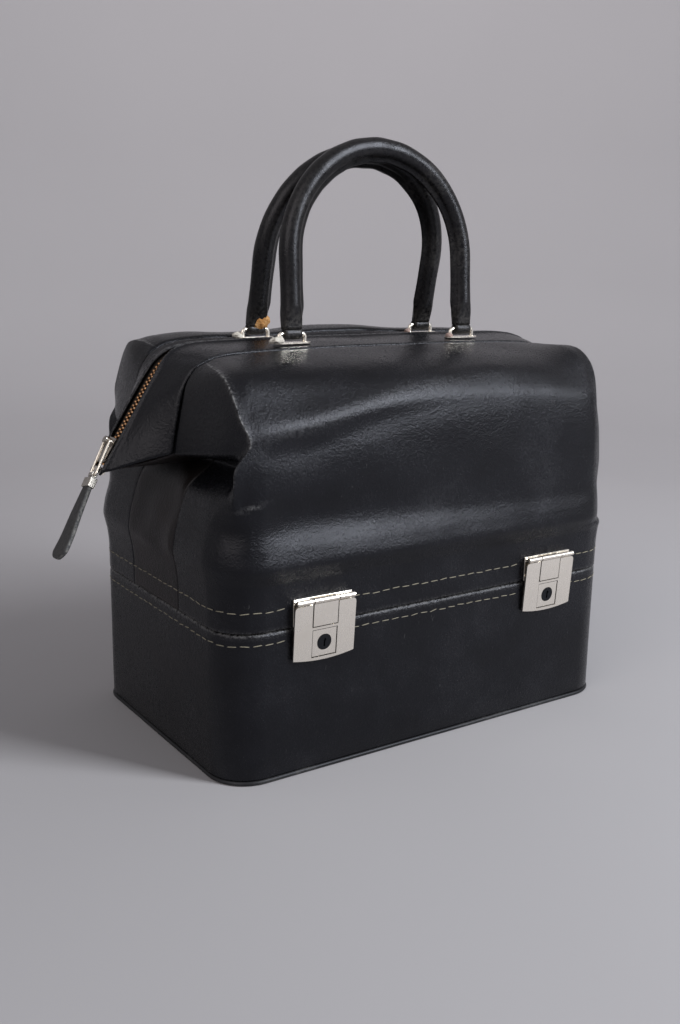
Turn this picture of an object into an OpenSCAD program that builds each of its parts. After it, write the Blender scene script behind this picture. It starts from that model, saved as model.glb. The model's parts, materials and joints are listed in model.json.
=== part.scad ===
// Two-tier leather train case: a hard lower compartment with two key latches, hinged at the back
// to a soft zip-top bag that has folded ends, a prow at each end of the zip and two rolled handles.
// Millimetres. The origin is the middle of the bottom face, +Z is up and the latches face -Y.

/* [Lower compartment] */
// Width of the case
case_w = 360; // [330:1:400]
// Depth of the case
case_d = 224; // [200:1:250]
// Height of the lower compartment
lower_h = 110; // [90:1:130]
// Radius of the upright corners
corner_r = 30; // [22:1:36]
// Thickness of the carcass walls and floor
board_t = 4; // [3:0.5:6]
// Thickness of the leather
leather_t = 1.6; // [1.2:0.1:2]
// Thickness of the lining
lining_t = 0.8; // [0.5:0.1:1.2]
// Radius of the piping round the bottom edge
welt_r = 1.6; // [1.2:0.1:2]
// Thickness of the base panel
base_t = 3.6; // [3.4:0.1:5]

/* [Upper bag] */
// Height of the bag from the parting line to the zip
bag_h = 187; // [170:1:210]
// Clear slit between the two tiers
parting_gap = 1; // [0.6:0.1:1.4]
// Height of the stiff rim of the bag
rim_h = 36; // [30:1:42]
// Thickness of the rim frame
rim_t = 5; // [4:0.5:7]
// How far the soft front and back belly out over the rim
belly = 6; // [2:0.5:8]
// How far the soft ends belly out over the rim
end_belly = 1.5; // [0:0.5:4]
// How far the soft ends lean in below their folds
end_lean = 8; // [4:1:12]
// Width of the strip between the two top seams
strip_w = 76; // [70:1:84]
// Drop from the top of the zip to the folds of the ends
fold_drop = 80; // [76:1:84]
// How far the ends fold inwards under the prow
fold_in = 28; // [20:1:32]
// How far the ears stand in from the end of the case
ear_in = 8; // [6:1:14]
// How far the corners under the ears are pinched out of their round
pinch = 12; // [6:1:16]
// Open groove along each seam
seam_gap = 1; // [0.8:0.1:1.4]
// Thickness of the stiffening boards under the strip
stiffener_t = 3; // [2:0.5:4]

/* [Zip] */
// How far the prow reaches out over the end of the case
prow_reach = 44; // [34:1:48]
// Drop from the top of the zip to the tip of the prow
prow_drop = 89; // [82:1:92]
// Slope of the zip on the prow, in degrees
prow_slope = 57; // [54:1:60]
// Half of the opening between the facings on the prow
zip_gap = 7.2; // [6.8:0.1:8]
// Pitch of the zip teeth
tooth_pitch = 3.2; // [2.6:0.1:4]
// Length of the slider
slider_l = 20; // [18:1:24]
// Length of the pull link between its bars
link_l = 27; // [22:1:30]
// Length of the leather pull tab
tab_l = 60; // [44:1:66]
// Width of the pull tab at its round end
tab_w = 19; // [15:1:22]

/* [Handles] */
// Half of the distance between the two feet of a handle
handle_x = 80; // [70:1:90]
// Distance of each handle's feet from the zip
handle_y = 27; // [24:1:30]
// Length of the straight legs of a handle
handle_leg = 55; // [44:1:62]
// How far in front of the zip the two handles lean together
handle_rest = 10; // [6:1:14]
// Radius of the rolled handle
roll_r = 7.6; // [6.5:0.1:8.5]
// Radius of the core inside the roll
core_r = 4.6; // [3.5:0.1:5]
// Depth of the stitched seam along the inside of a handle
ridge_d = 3.4; // [2.5:0.1:4]
// Radius of the wire of a handle loop
wire_r = 1.6; // [1.3:0.1:1.8]

/* [Latches] */
// Distance of each latch from the middle of the case
lock_x = 106; // [90:1:115]
// Width of a latch face plate
lock_w = 50; // [46:1:54]
// Height of a latch face plate
lock_h = 42; // [40:1:44]
// How far the face plate reaches below the parting line
lock_drop = 25.5; // [25:0.5:28]
// Forward lean of the face plate, in degrees
lock_lean = 4; // [3:0.5:5]
// Thickness of the latch sheet metal
plate_t = 1.3; // [1:0.1:1.6]
// Side of the square push button
button_w = 20; // [17:0.5:20.5]
// Radius of the key plug
plug_r = 5.6; // [4.5:0.1:6]
// Travel of the push button
button_travel = 1; // [0.6:0.1:1]

/* [Hinges] */
// Distance of each back hinge from the middle of the case
hinge_x = 106; // [80:1:115]
// Width of a hinge
hinge_w = 50; // [40:1:56]
// Radius of the hinge knuckles
knuckle_r = 3; // [2.6:0.1:3.4]
// Radius of the hinge pin
pin_r = 1.5; // [1.2:0.1:1.6]
// Reach of a hinge leaf from the knuckle
leaf_h = 14; // [12:0.5:15]
// Radius of the rivet heads
rivet_r = 2.2; // [1.8:0.1:2.4]

/* [Hidden] */
$fn = 48;
eps = 0.01;
// Running clearance round pins and plugs
run = 0.06;
// Clearance between pieces that lie on each other
lie = 0.3;
// Clearance between pieces that pass each other
pass = 0.5;

hw = case_w / 2;
hd = case_d / 2;
upper_z = lower_h + parting_gap;
rim_z = upper_z + rim_h;
top_z = lower_h + bag_h;
sh = strip_w / 2;
wall_in = leather_t + board_t;
rim_in = leather_t + lie;
divider_in = rim_in + rim_t + lie / 2;
floor_z = base_t + board_t;

// Tip of the left prow and the two directions of its sloping plane
tip_x = hw + prow_reach;
tip_z = top_z - prow_drop;
fold_z = top_z - fold_drop;
lip_rise = 7;
slope_l = 28;
slope_c = cos(prow_slope);
slope_s = sin(prow_slope);

// Depths of the zip under the surface of the facings
tooth_t = 2.4;
tooth_depth = 0.9;
tooth_in = 0.6;
tooth_out = 2.8;
tape_t = 0.6;
tape_depth = tooth_depth + tooth_t / 2 - tape_t / 2;
stop_r = 2.6;
stop_s = 3.2;
chain_s = stop_s + stop_r + pass;
slider_s = chain_s + 1.8;
slider_half = 5.4;
slider_t = 1.2;
lug_h = 3.4;
pull_skew = 15;
bar_r = 1;
link_half = 4.2;
link_bend = 1.6;
tab_t = 4;
clip_h = 7;
clip_t = 0.7;

// Seat of the handle loops on the strip
zip_lip = 1.2;
crown = 3.7;
crown_slope = atan(crown / (sh - zip_lip));
puff = 0.6;
loop_plate_t = 1;
loop_span = 22;
loop_bend = 3;
loop_h = 6;
loop_z = top_z - crown * (handle_y - zip_lip) / (sh - zip_lip) + puff + lie + loop_plate_t;
swing_z = loop_z + loop_h;
tab_hub_r = 4.4;
tab_hub_l = loop_span - 2 * loop_bend - 2;
tab_top = 16;
end_lip = 0.4;
handle_top = handle_leg + handle_x;
front_lean = asin((handle_y - handle_rest - roll_r - pass / 2) / handle_top);
back_lean = asin((handle_y + handle_rest - roll_r - pass / 2) / handle_top);

// Latch places, measured in the leaning plane of the face plate
lock_stand = 0.4;
lock_corner = 3;
lock_sag = 2.5;
notch_w = 21.4;
notch_z = 25;
window_c = 12.8;
window_w = button_w + 2 * lie;
pin_small = 0.9;
roll_small = 1.9;
hasp_z = lock_h + roll_small + pass;
hasp_y = plate_t / 2 + 0.2;
hasp_half = notch_w / 2 - pass;
keeper_half = lock_w / 2 - 1;
housing_half = lock_w / 2 - 6;

// Hinge axis, just outside the back wall
axis_y = hd + knuckle_r + lie;
axis_z = lower_h + parting_gap / 2;
leaf_t = 1.2;
mid_half = hinge_w / 6;
rivet_shank = 1.2;
rivet_head = 0.8;
rivet_spread = hinge_w / 2 - 5;
rivet_x = housing_half + rivet_r + lie;

LATCH_SIDES = [-1, 1];

function mix(a, b, t) = a + (b - a) * t;
function unit(v) = v / norm(v);
// Cubic through b and c, shaped by a and d
function cubic(a, b, c, d, t) =
    0.5 * (2 * b + (c - a) * t + (2 * a - 5 * b + 4 * c - d) * t * t + (3 * b - a - 3 * c + d) * t * t * t);
// Point at place u on a smooth curve through the list p, straight on past its ends
function along(p, u) =
    let (
        n = len(p) - 1,
        k = min(floor(u), n - 1),
        before = k > 0 ? p[k - 1] : 2 * p[0] - p[1],
        after = k + 2 > n ? 2 * p[n] - p[n - 1] : p[k + 2]
    )
    cubic(before, p[k], p[k + 1], after, u - k);
function flip_x(p) = [-p[0], p[1], p[2]];

// One section of the soft wall from the end seam round the corner to the middle of the front.
// s is the section: [x and z at the seam, x, y and z where the corner starts, x, y and z where it
// ends, swell of the corner].
function ring(s) = concat(
    [for (k = [0, 0.5]) [-mix(s[0], s[2], k), -mix(sh + seam_gap, s[3], k), mix(s[1], s[4], k)]],
    [for (a = [0:22.5:90]) [
        -(s[5] + (s[2] - s[5]) * cos(a) + s[8] * sin(2 * a)),
        -(s[3] + (s[6] - s[3]) * sin(a)),
        mix(s[4], s[7], pow(sin(a), 2))
    ]],
    [for (k = [2, 1, 0] / 3) [-s[5] * k, -s[6], s[7]]]);
// A level section that stands out from the case outline by e at the end and by f at the front
function level(e, f, z) = [hw + e, z, hw + e, hd - corner_r, z, hw - corner_r, hd + f, z, 0];

// Seam between the strip and a panel, from the lip of the prow over the top to the middle
seam_path = [
    [hw + 2, fold_z + lip_rise], [hw - 3, top_z - 45], [hw - 8, top_z - 26], [hw - 16, top_z - 15],
    [hw - 24, top_z - 10.5], [hw - 33, top_z - 7.5], [hw - 50, top_z - 5.5],
    [(hw - 50) * 2 / 3, top_z - crown - 0.6], [(hw - 50) / 3, top_z - crown - 0.1], [0, top_z - crown]
];
// Edge of a facing along the zip, from the tip of the prow to the middle, and its distance from y = 0
zip_path = concat(
    [for (k = [0:3]) [tip_x - k * slope_l * slope_c, tip_z + k * slope_l * slope_s]],
    [[hw - 9, top_z - 10], [hw - 19, top_z - 4.5], [hw - 40, top_z - 1.2],
     [(hw - 50) * 2 / 3, top_z - 0.4], [(hw - 50) / 3, top_z - 0.1], [0, top_z]]);
zip_half = [zip_gap, zip_gap, zip_gap, zip_gap * 0.9, zip_gap * 0.6, zip_gap * 0.3,
    zip_lip, zip_lip, zip_lip, zip_lip];
PATH_END = len(seam_path) - 1;

// Sections of the front panel, from the rim to the crest of the ears
roll_rise = 10;
lean_rise = 18;
wall_low = rim_z + roll_rise;
wall_high = fold_z - lean_rise;
sections = [
    level(0, 0, rim_z),
    level(end_belly, belly, wall_low),
    level(-0.3 * end_lean, belly * 0.6, mix(wall_low, wall_high, 0.6)),
    [hw - end_lean, wall_high, hw - end_lean, hd - corner_r + pinch, wall_high + 3,
        hw - corner_r + pinch, hd + belly * 0.6, fold_z, 0],
    [hw - fold_in, fold_z, hw - fold_in, hd - corner_r, fold_z + 6,
        hw - corner_r + pinch, hd + belly * 0.4, fold_z + 14, fold_in / 2 + pinch / 2],
    [seam_path[0][0], seam_path[0][1], hw - ear_in - 2, hd - 16, fold_z + 19,
        hw - 34, hd - 1, fold_z + 28, 0],
    [seam_path[1][0], seam_path[1][1], hw - ear_in, hd - 32, top_z - 30, hw - 35, hd - 14, top_z - 34, 0],
    [seam_path[2][0], seam_path[2][1], hw - ear_in, hd - 50, top_z - 9, hw - 36, hd - 34, top_z - 18, 0]
];
function top_ring() =
    [for (u = [3, 3.5, 4, 4.4, 4.8, 5.3, 6, 7, 8, 9])
        let (p = along(seam_path, u)) [-p[0], -(sh + seam_gap), p[1]]];
function full(r) = concat(r, [for (j = [len(r) - 2:-1:0]) flip_x(r[j])]);
panel_net = [for (r = concat([for (s = sections) ring(s)], [top_ring()])) full(r)];
half_stations = [0, 0.5, 1, 1.5, 2, 2.5, 3, 3.5, 4, 4.5, 5, 5.5, 6, 7, 8];
NET_END = len(panel_net[0]) - 1;
panel_stations = concat(half_stations, [9],
    [for (k = [len(half_stations) - 1:-1:0]) NET_END - half_stations[k]]);
panel_columns = [for (u = panel_stations) [for (r = panel_net) along(r, u)]];
panel_grid = concat(
    [[for (c = panel_columns) [c[0][0], c[0][1], upper_z]]],
    [for (v = [0:0.5:len(panel_net) - 1]) [for (c = panel_columns) along(c, v)]]);

// Sections of an end gusset: x and z at the seams, x and z in the middle
gusset_edge = 0.1;
gusset_tip = 0.22;
fold_x = hw - fold_in;
gusset_sections = concat(
    [for (s = [sections[0], sections[1], sections[2], sections[3]]) [s[0], s[1], s[0] + 0.5, s[1] - 2]],
    [[fold_x, sections[4][1], fold_x + 2, sections[4][1] - 5],
     [mix(seam_path[0][0], fold_x, gusset_edge), mix(seam_path[0][1], sections[4][1], gusset_edge),
      mix(tip_x, fold_x, gusset_tip), mix(tip_z, sections[4][1] - 5, gusset_tip)]]);
gusset_net = [for (s = gusset_sections)
    [for (k = [-1, -0.5, 0, 0.5, 1]) [-mix(s[2], s[0], abs(k)), -k * sh, mix(s[3], s[1], abs(k))]]];
gusset_columns = [for (u = [0:0.5:4]) [for (r = gusset_net) along(r, u)]];
gusset_grid = concat(
    [[for (c = gusset_columns) [-hw, c[0][1], upper_z]]],
    [for (v = [0:0.5:len(gusset_net) - 1]) [for (c = gusset_columns) along(c, v)]]);

// Front facing: rows run across from the seam to the zip, columns from the left tip to the right tip
half_places = concat([for (u = [0:0.4:6]) u], [7, 8]);
function facing_point(u, t) =
    let (
        a = along(seam_path, u),
        b = along(zip_path, u),
        g = along(zip_half, u),
        bow = 4 * puff * t * (1 - t)
    )
    [-mix(a[0], b[0], t), -mix(sh, g, t), mix(a[1], b[1], t) + bow];
function facing_row(t) = full([for (u = concat(half_places, [PATH_END])) facing_point(u, t)]);
facing_grid = [for (t = [0:0.25:1]) facing_row(t)];

// Outward normal of a grid at row i and column j
function grid_normal(g, i, j) =
    let (
        rise = g[min(i + 1, len(g) - 1)][j] - g[max(i - 1, 0)][j],
        run_to = g[i][min(j + 1, len(g[0]) - 1)] - g[i][max(j - 1, 0)]
    )
    unit(cross(run_to, rise));
function sunk(g, t) =
    [for (i = [0:len(g) - 1]) [for (j = [0:len(g[0]) - 1]) g[i][j] - t * grid_normal(g, i, j)]];
function joined(g) = [for (r = g) for (p = r) p];

// Closed sheet of thickness t under the grid g
module sheet(g, t) {
    rows = len(g);
    cols = len(g[0]);
    n = rows * cols;
    function at(i, j) = i * cols + j;
    skin = [for (i = [0:rows - 2]) for (j = [0:cols - 2])
        let (a = at(i, j), b = at(i + 1, j), c = at(i + 1, j + 1), d = at(i, j + 1))
        for (f = [[a, b, c], [a, c, d]]) f];
    back = [for (f = skin) [f[0] + n, f[2] + n, f[1] + n]];
    loop = concat(
        [for (j = [0:cols - 2]) at(0, j)], [for (i = [0:rows - 2]) at(i, cols - 1)],
        [for (j = [cols - 1:-1:1]) at(rows - 1, j)], [for (i = [rows - 1:-1:1]) at(i, 0)]);
    walls = [for (k = [0:len(loop) - 1])
        let (a = loop[k], b = loop[(k + 1) % len(loop)])
        for (f = [[a, b, b + n], [a, b + n, a + n]]) f];
    polyhedron(concat(joined(g), joined(sunk(g, t))), concat(skin, back, walls));
}

// Outline of the case, set in by i
module outline(i) {
    w = case_w - 2 * i;
    d = case_d - 2 * i;
    r = corner_r - i;
    rounded(w, d, r);
}

module rounded(w, d, r) {
    square([w - 2 * r, d], center = true);
    square([w, d - 2 * r], center = true);
    for (x = [-1, 1], y = [-1, 1])
        translate([x * (w / 2 - r), y * (d / 2 - r)])
            circle(r);
}

// Closed ring of round wire of radius r, w by d between its middles, bent to radius b at the corners
module wire_ring(w, d, b, r) {
    for (x = [-1, 1], y = [-1, 1])
        translate([x * (w / 2 - b), y * (d / 2 - b), 0])
            rotate([0, 0, x > 0 ? (y > 0 ? 0 : -90) : (y > 0 ? 90 : 180)])
                rotate_extrude(angle = 90)
                    translate([b, 0])
                        circle(r);
    for (y = [-1, 1])
        translate([b - w / 2, y * d / 2, 0])
            rotate([0, 90, 0])
                cylinder(r = r, h = w - 2 * b);
    for (x = [-1, 1])
        translate([x * w / 2, d / 2 - b, 0])
            rotate([90, 0, 0])
                cylinder(r = r, h = d - 2 * b);
}

module slab(i, z0, z1) {
    translate([0, 0, z0])
        linear_extrude(z1 - z0)
            outline(i);
}

// Rivet shanks through the walls, as holes or as metal
module latch_rivets_at(z, r, l) {
    for (s = LATCH_SIDES, x = [-1, 1])
        translate([s * lock_x + x * rivet_x, -hd - l, z])
            rotate([-90, 0, 0])
                cylinder(r = r, h = l + wall_in);
}

module hinge_rivets_at(z, r, l) {
    for (s = LATCH_SIDES, x = [-1, 0, 1])
        translate([s * hinge_x + x * rivet_spread, hd - wall_in, z])
            rotate([-90, 0, 0])
                cylinder(r = r, h = l + wall_in);
}

latch_rivet_z = lower_h - lock_drop / 2;
hinge_rivet_low = axis_z - leaf_h + 3.4;
hinge_rivet_high = axis_z + leaf_h - 4.4;

module lower_holes() {
    latch_rivets_at(latch_rivet_z, rivet_shank, eps);
    hinge_rivets_at(hinge_rivet_low, rivet_shank, eps);
}

module lower_carcass() {
    color("tan")
        difference() {
            slab(leather_t, base_t, lower_h - leather_t);
            slab(wall_in, floor_z, lower_h);
            lower_holes();
        }
}

module lower_leather_wrap() {
    color([0.09, 0.09, 0.1])
        difference() {
            slab(0, 2 * welt_r + lie, lower_h);
            slab(leather_t, 0, lower_h - leather_t);
            slab(wall_in, 0, lower_h + eps);
            lower_holes();
        }
}

module base_panel() {
    color([0.08, 0.08, 0.08])
        slab(2 * welt_r - 0.4 + lie, 0, base_t);
}

// Piping round the bottom edge, its middle just inside the wall
module base_welt() {
    inset = welt_r - 0.8;
    color([0.1, 0.1, 0.1])
        translate([0, 0, welt_r + lie / 2])
            wire_ring(case_w - 2 * inset, case_d - 2 * inset, corner_r - inset, welt_r);
}

module lower_lining() {
    color("dimgray")
        difference() {
            slab(wall_in, floor_z, lower_h - leather_t);
            slab(wall_in + lining_t, floor_z + lining_t, lower_h);
        }
}

module rim_frame() {
    color("tan")
        difference() {
            slab(rim_in, upper_z, rim_z - pass);
            slab(rim_in + rim_t, upper_z - 1, rim_z);
            latch_rivets_at(keeper_rivet_z, rivet_shank + run, eps);
            hinge_rivets_at(hinge_rivet_high, rivet_shank + run, eps);
        }
}

module divider_board() {
    color("burlywood")
        slab(divider_in, upper_z + lining_t, upper_z + lining_t + board_t);
}

module divider_lining() {
    color("dimgray")
        slab(divider_in, upper_z, upper_z + lining_t);
}

module front_panel() {
    color([0.08, 0.08, 0.09])
        difference() {
            sheet(panel_grid, leather_t);
            latch_rivets_at(keeper_rivet_z, rivet_shank + run, eps);
        }
}

module back_panel() {
    color([0.08, 0.08, 0.09])
        difference() {
            mirror([0, 1, 0])
                sheet(panel_grid, leather_t);
            hinge_rivets_at(hinge_rivet_high, rivet_shank + run, eps);
        }
}

module gusset() {
    color([0.1, 0.09, 0.08])
        mirror([0, 1, 0])
            sheet(gusset_grid, leather_t);
}

module left_gusset() {
    gusset();
}

module right_gusset() {
    mirror([1, 0, 0])
        gusset();
}

module front_zip_facing() {
    color([0.09, 0.09, 0.1])
        sheet(facing_grid, leather_t);
}

module back_zip_facing() {
    mirror([0, 1, 0])
        front_zip_facing();
}

// How far the zip dives under the lips of the facings at place u
function dive(u) = 1.5 * min(max((u - 2.4) / 1.4, 0), 1);
// Outward direction across the zip at place u, as [x, z]
function zip_normal(u) =
    let (
        a = along(zip_path, max(u - 0.1, 0)),
        b = along(zip_path, min(u + 0.1, PATH_END)),
        t = unit(b - a)
    )
    [t[1], -t[0]];
function zip_point(u, y, depth) =
    let (p = along(zip_path, u) - depth * zip_normal(u))
    [-p[0], -y, p[1]];

chain_start = chain_s / slope_l;
tape_start = (chain_s + 2) / slope_l;
tape_places = concat([tape_start], [for (u = half_places) if (u > tape_start + 0.1) u], [PATH_END]);
tape_reach = 0.14;
tape_side = 0.2;
function under_facing(u, depth) =
    let (
        p = facing_point(u, 1 - tape_reach),
        q = facing_point(u, 1 - 2 * tape_reach) - p,
        r = facing_point(min(u + 0.05, PATH_END), 1 - tape_reach) -
            facing_point(max(u - 0.05, 0), 1 - tape_reach)
    )
    p - depth * unit(cross(q, r));
tape_grid = [
    full([for (u = tape_places) under_facing(u, leather_t + lie)]),
    full([for (u = tape_places) zip_point(u, max(along(zip_half, u), tooth_out + 2), tape_depth + 1)]),
    full([for (u = tape_places) zip_point(u, tooth_out + tape_side, tape_depth + dive(u))])
];

module front_zip_tape() {
    color([0.12, 0.1, 0.09])
        sheet(tape_grid, tape_t);
}

module back_zip_tape() {
    mirror([0, 1, 0])
        front_zip_tape();
}

// Row of teeth along the front tape: high and low rings alternate on the prows
tooth_low = 0.7;
prow_rings = floor(3 * slope_l / tooth_pitch * 2) - 4;
tooth_places = concat(
    [for (k = [0:prow_rings]) [chain_start + k * tooth_pitch / 2 / slope_l, k % 2]],
    [for (u = [3.2:0.4:6]) [u, 0]], [[7, 0], [8, 0], [PATH_END, 0]]);
function tooth_ring(u, low) =
    let (top = tooth_depth + dive(u) + low * tooth_low, foot = tooth_depth + tooth_t + dive(u))
    [zip_point(u, tooth_in, top), zip_point(u, tooth_out, top),
     zip_point(u, tooth_out, foot), zip_point(u, tooth_in, foot)];
tooth_half = [for (p = tooth_places) tooth_ring(p[0], p[1])];
tooth_rings = concat(tooth_half,
    [for (k = [len(tooth_half) - 2:-1:0]) [for (p = tooth_half[k]) flip_x(p)]]);

module front_zip_teeth() {
    n = len(tooth_rings);
    sides = [for (k = [0:n - 2]) for (i = [0:3])
        let (a = 4 * k + i, b = 4 * k + (i + 1) % 4)
        for (f = [[a, b + 4, b], [a, a + 4, b + 4]]) f];
    e = 4 * (n - 1);
    color("peru")
        polyhedron(joined(tooth_rings),
            concat(sides, [[0, 1, 2], [0, 2, 3], [e, e + 2, e + 1], [e, e + 3, e + 2]]));
}

module back_zip_teeth() {
    mirror([0, 1, 0])
        front_zip_teeth();
}

// Frame on the left prow: x runs up the zip, z stands out from it
module at_zip(s) {
    translate([-tip_x, 0, tip_z])
        rotate([0, -prow_slope, 0])
            translate([s, 0, 0])
                children();
}

// Bar of radius r along y, centred
module cross_bar(r, l) {
    rotate([90, 0, 0])
        cylinder(r = r, h = l, center = true);
}

module zip_stop() {
    color("silver")
        at_zip(stop_s)
            translate([0, 0, -tape_depth - tape_t / 2])
                difference() {
                    cross_bar(stop_r, 2 * slider_half);
                    cross_bar(stop_r / 2, 2 * slider_half + 1);
                }
}

module left_zip_stop() {
    zip_stop();
}

module right_zip_stop() {
    mirror([1, 0, 0])
        zip_stop();
}

// Outline of a slider plate: straight sides and a rounded nose
module slider_plate() {
    translate([slider_half, -slider_half])
        square([slider_l - slider_half, 2 * slider_half]);
    translate([slider_half, 0])
        circle(slider_half);
}

lug_s = slider_l - 4;
slider_top = tooth_depth - lie;
slider_foot = tooth_depth + tooth_t + lie;

module zip_slider() {
    color("silver")
        at_zip(slider_s)
            difference() {
                union() {
                    translate([0, 0, -slider_top])
                        linear_extrude(slider_t)
                            slider_plate();
                    translate([0, 0, -slider_foot - slider_t])
                        linear_extrude(slider_t)
                            slider_plate();
                    for (y = [-1, 1])
                        translate([slider_half, y > 0 ? tooth_out + pass : -slider_half, -slider_top - 0.8])
                            cube([slider_l - slider_half, slider_half - tooth_out - pass, 0.8 + eps]);
                    translate([2, -tooth_in / 2, -slider_foot - eps])
                        cube([4, tooth_in, slider_foot - slider_top + 2 * eps]);
                    translate([lug_s, 0, slider_t - slider_top - eps])
                        cylinder(r = 2.6, h = lug_h + 2);
                }
                translate([lug_s, 0, lug_h])
                    rotate([0, 0, pull_skew])
                        cross_bar(bar_r + run, 2 * slider_half);
            }
}

// Frame of the pull, hanging a little askew down the prow
module at_pull(x) {
    at_zip(slider_s + lug_s)
        translate([0, 0, lug_h])
            rotate([0, 0, pull_skew])
                translate([-x, 0, 0])
                    children();
}

module zip_pull_link() {
    color("silver")
        at_pull(link_l / 2)
            wire_ring(link_l, 2 * link_half, link_bend, bar_r);
}

hub_r = bar_r + 1.2;
hub_half = link_half - bar_r - pass;
clip_start = hub_r + pass;
tab_start = clip_start + 1;
tab_neck = link_half;

module zip_pull_clip() {
    color("silver")
        at_pull(link_l)
            difference() {
                union() {
                    cross_bar(hub_r, 2 * hub_half);
                    translate([-clip_start - eps, -hub_half, -bar_r])
                        cube([clip_start, 2 * hub_half, 2 * bar_r]);
                    translate([-clip_start - clip_h, -tab_neck - clip_t, -tab_t / 2 - clip_t])
                        cube([clip_h, 2 * tab_neck + 2 * clip_t, tab_t + 2 * clip_t]);
                }
                cross_bar(bar_r + run, 2 * link_half);
                translate([-tab_start - tab_l, -tab_neck - run, -tab_t / 2 - run])
                    cube([tab_l, 2 * tab_neck + 2 * run, tab_t + 2 * run]);
            }
}

module zip_pull_tab() {
    r = tab_w / 2;
    shoulder = clip_start + clip_h + 1;
    end = tab_start + tab_l;
    color([0.15, 0.15, 0.16])
        at_pull(link_l)
            translate([0, 0, -tab_t / 2]) {
                linear_extrude(tab_t)
                    polygon([[-tab_start, -tab_neck], [-shoulder, -tab_neck], [0.8 * r - end, -0.9 * r],
                        [0.8 * r - end, 0.9 * r], [-shoulder, tab_neck], [-tab_start, tab_neck]]);
                translate([r - end, 0, 0])
                    cylinder(r = r, h = tab_t);
            }
}

// Boards under the two sides of the strip, where the handles pull
module front_top_stiffener() {
    near = zip_gap + 4;
    far = sh - 2;
    middle = mix(near, far, 0.5);
    color("burlywood")
        translate([0, -middle, top_z - crown * (middle - zip_lip) / (sh - zip_lip)])
            rotate([crown_slope, 0, 0])
                translate([-handle_x - loop_span, near - middle, -leather_t - 1 - stiffener_t])
                    cube([2 * (handle_x + loop_span), far - near, stiffener_t]);
}

module back_top_stiffener() {
    mirror([0, 1, 0])
        front_top_stiffener();
}

// Wire staple on an oval plate
module handle_loop(x, y) {
    leg = loop_h - loop_bend;
    color("silver")
        translate([x * handle_x, y * handle_y, loop_z]) {
            translate([0, 0, -loop_plate_t])
                linear_extrude(loop_plate_t) {
                    square([loop_span, 9], center = true);
                    for (e = [-1, 1])
                        translate([e * loop_span / 2, 0])
                            circle(4.5);
                }
            translate([loop_bend - loop_span / 2, 0, loop_h])
                rotate([0, 90, 0])
                    cylinder(r = wire_r, h = loop_span - 2 * loop_bend);
            for (e = [0, 180])
                rotate([0, 0, e]) {
                    translate([loop_span / 2 - loop_bend, 0, leg])
                        rotate([90, 0, 0])
                            rotate_extrude(angle = 90)
                                translate([loop_bend, 0])
                                    circle(wire_r);
                    translate([loop_span / 2, 0, -eps])
                        cylinder(r = wire_r, h = leg + eps);
                }
        }
}

module front_left_handle_loop() {
    handle_loop(-1, -1);
}

module front_right_handle_loop() {
    handle_loop(1, -1);
}

module back_left_handle_loop() {
    handle_loop(-1, 1);
}

module back_right_handle_loop() {
    handle_loop(1, 1);
}

// Frame of a handle: origin on its swing axis, z along its leaning legs
module at_handle(side) {
    translate([0, side * handle_y, swing_z])
        rotate([side * (side > 0 ? back_lean : front_lean), 0, 0])
            children();
}

// Round bar of radius r bent into legs and an arch
module arch_bar(r, foot) {
    translate([0, 0, handle_leg])
        rotate([90, 0, 0])
            rotate_extrude(angle = 180)
                translate([handle_x, 0])
                    circle(r);
    for (x = [-1, 1])
        translate([x * handle_x, 0, foot])
            cylinder(r = r, h = handle_leg - foot);
}

// Flat stitched seam along the inside of the roll
module arch_ridge(foot) {
    t = 2.8;
    inner = handle_x - roll_r - ridge_d;
    translate([0, 0, handle_leg])
        rotate([90, 0, 0])
            rotate_extrude(angle = 180)
                translate([inner, -t / 2])
                    square([roll_r + ridge_d - core_r - 1, t]);
    for (x = [0, 1])
        mirror([x, 0, 0])
            translate([inner, -t / 2, foot])
                cube([roll_r + ridge_d - core_r - 1, t, handle_leg - foot]);
}

// End of the roll, flattened round the wire of its loop
module handle_end(x) {
    hull() {
        translate([x * handle_x, 0, tab_top])
            cylinder(r = roll_r + end_lip, h = 1, $fn = 32);
        translate([x * handle_x - tab_hub_l / 2, 0, 0])
            rotate([0, 90, 0])
                cylinder(r = tab_hub_r, h = tab_hub_l, $fn = 32);
    }
}

module handle_cover(side) {
    color([0.1, 0.1, 0.1])
        at_handle(side)
            difference() {
                union() {
                    arch_bar(roll_r, tab_top);
                    arch_ridge(tab_top + 4);
                    for (x = [-1, 1])
                        handle_end(x);
                }
                arch_bar(core_r + run, tab_top - 1);
                for (x = [-1, 1])
                    translate([x * handle_x - loop_span / 2, 0, 0])
                        rotate([0, 90, 0])
                            cylinder(r = wire_r + run, h = loop_span);
            }
}

module front_handle_cover() {
    handle_cover(-1);
}

module back_handle_cover() {
    handle_cover(1);
}

module handle_core(side) {
    color("sienna")
        at_handle(side)
            arch_bar(core_r, tab_top);
}

module front_handle_core() {
    handle_core(-1);
}

module back_handle_core() {
    handle_core(1);
}

// Leaning frame of a latch: origin at the foot of the face plate, z up it, -y out of it
module at_lock(side) {
    translate([side * lock_x, -hd - leaf_t - lock_stand, lower_h - lock_drop])
        rotate([lock_lean, 0, 0])
            children();
}

// Extrudes an outline in x and z towards the front
module pressed(t) {
    rotate([90, 0, 0])
        linear_extrude(t)
            children();
}

// Bar of radius r along x, centred
module hinge_bar(r, l) {
    rotate([0, 90, 0])
        cylinder(r = r, h = l, center = true);
}

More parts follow.
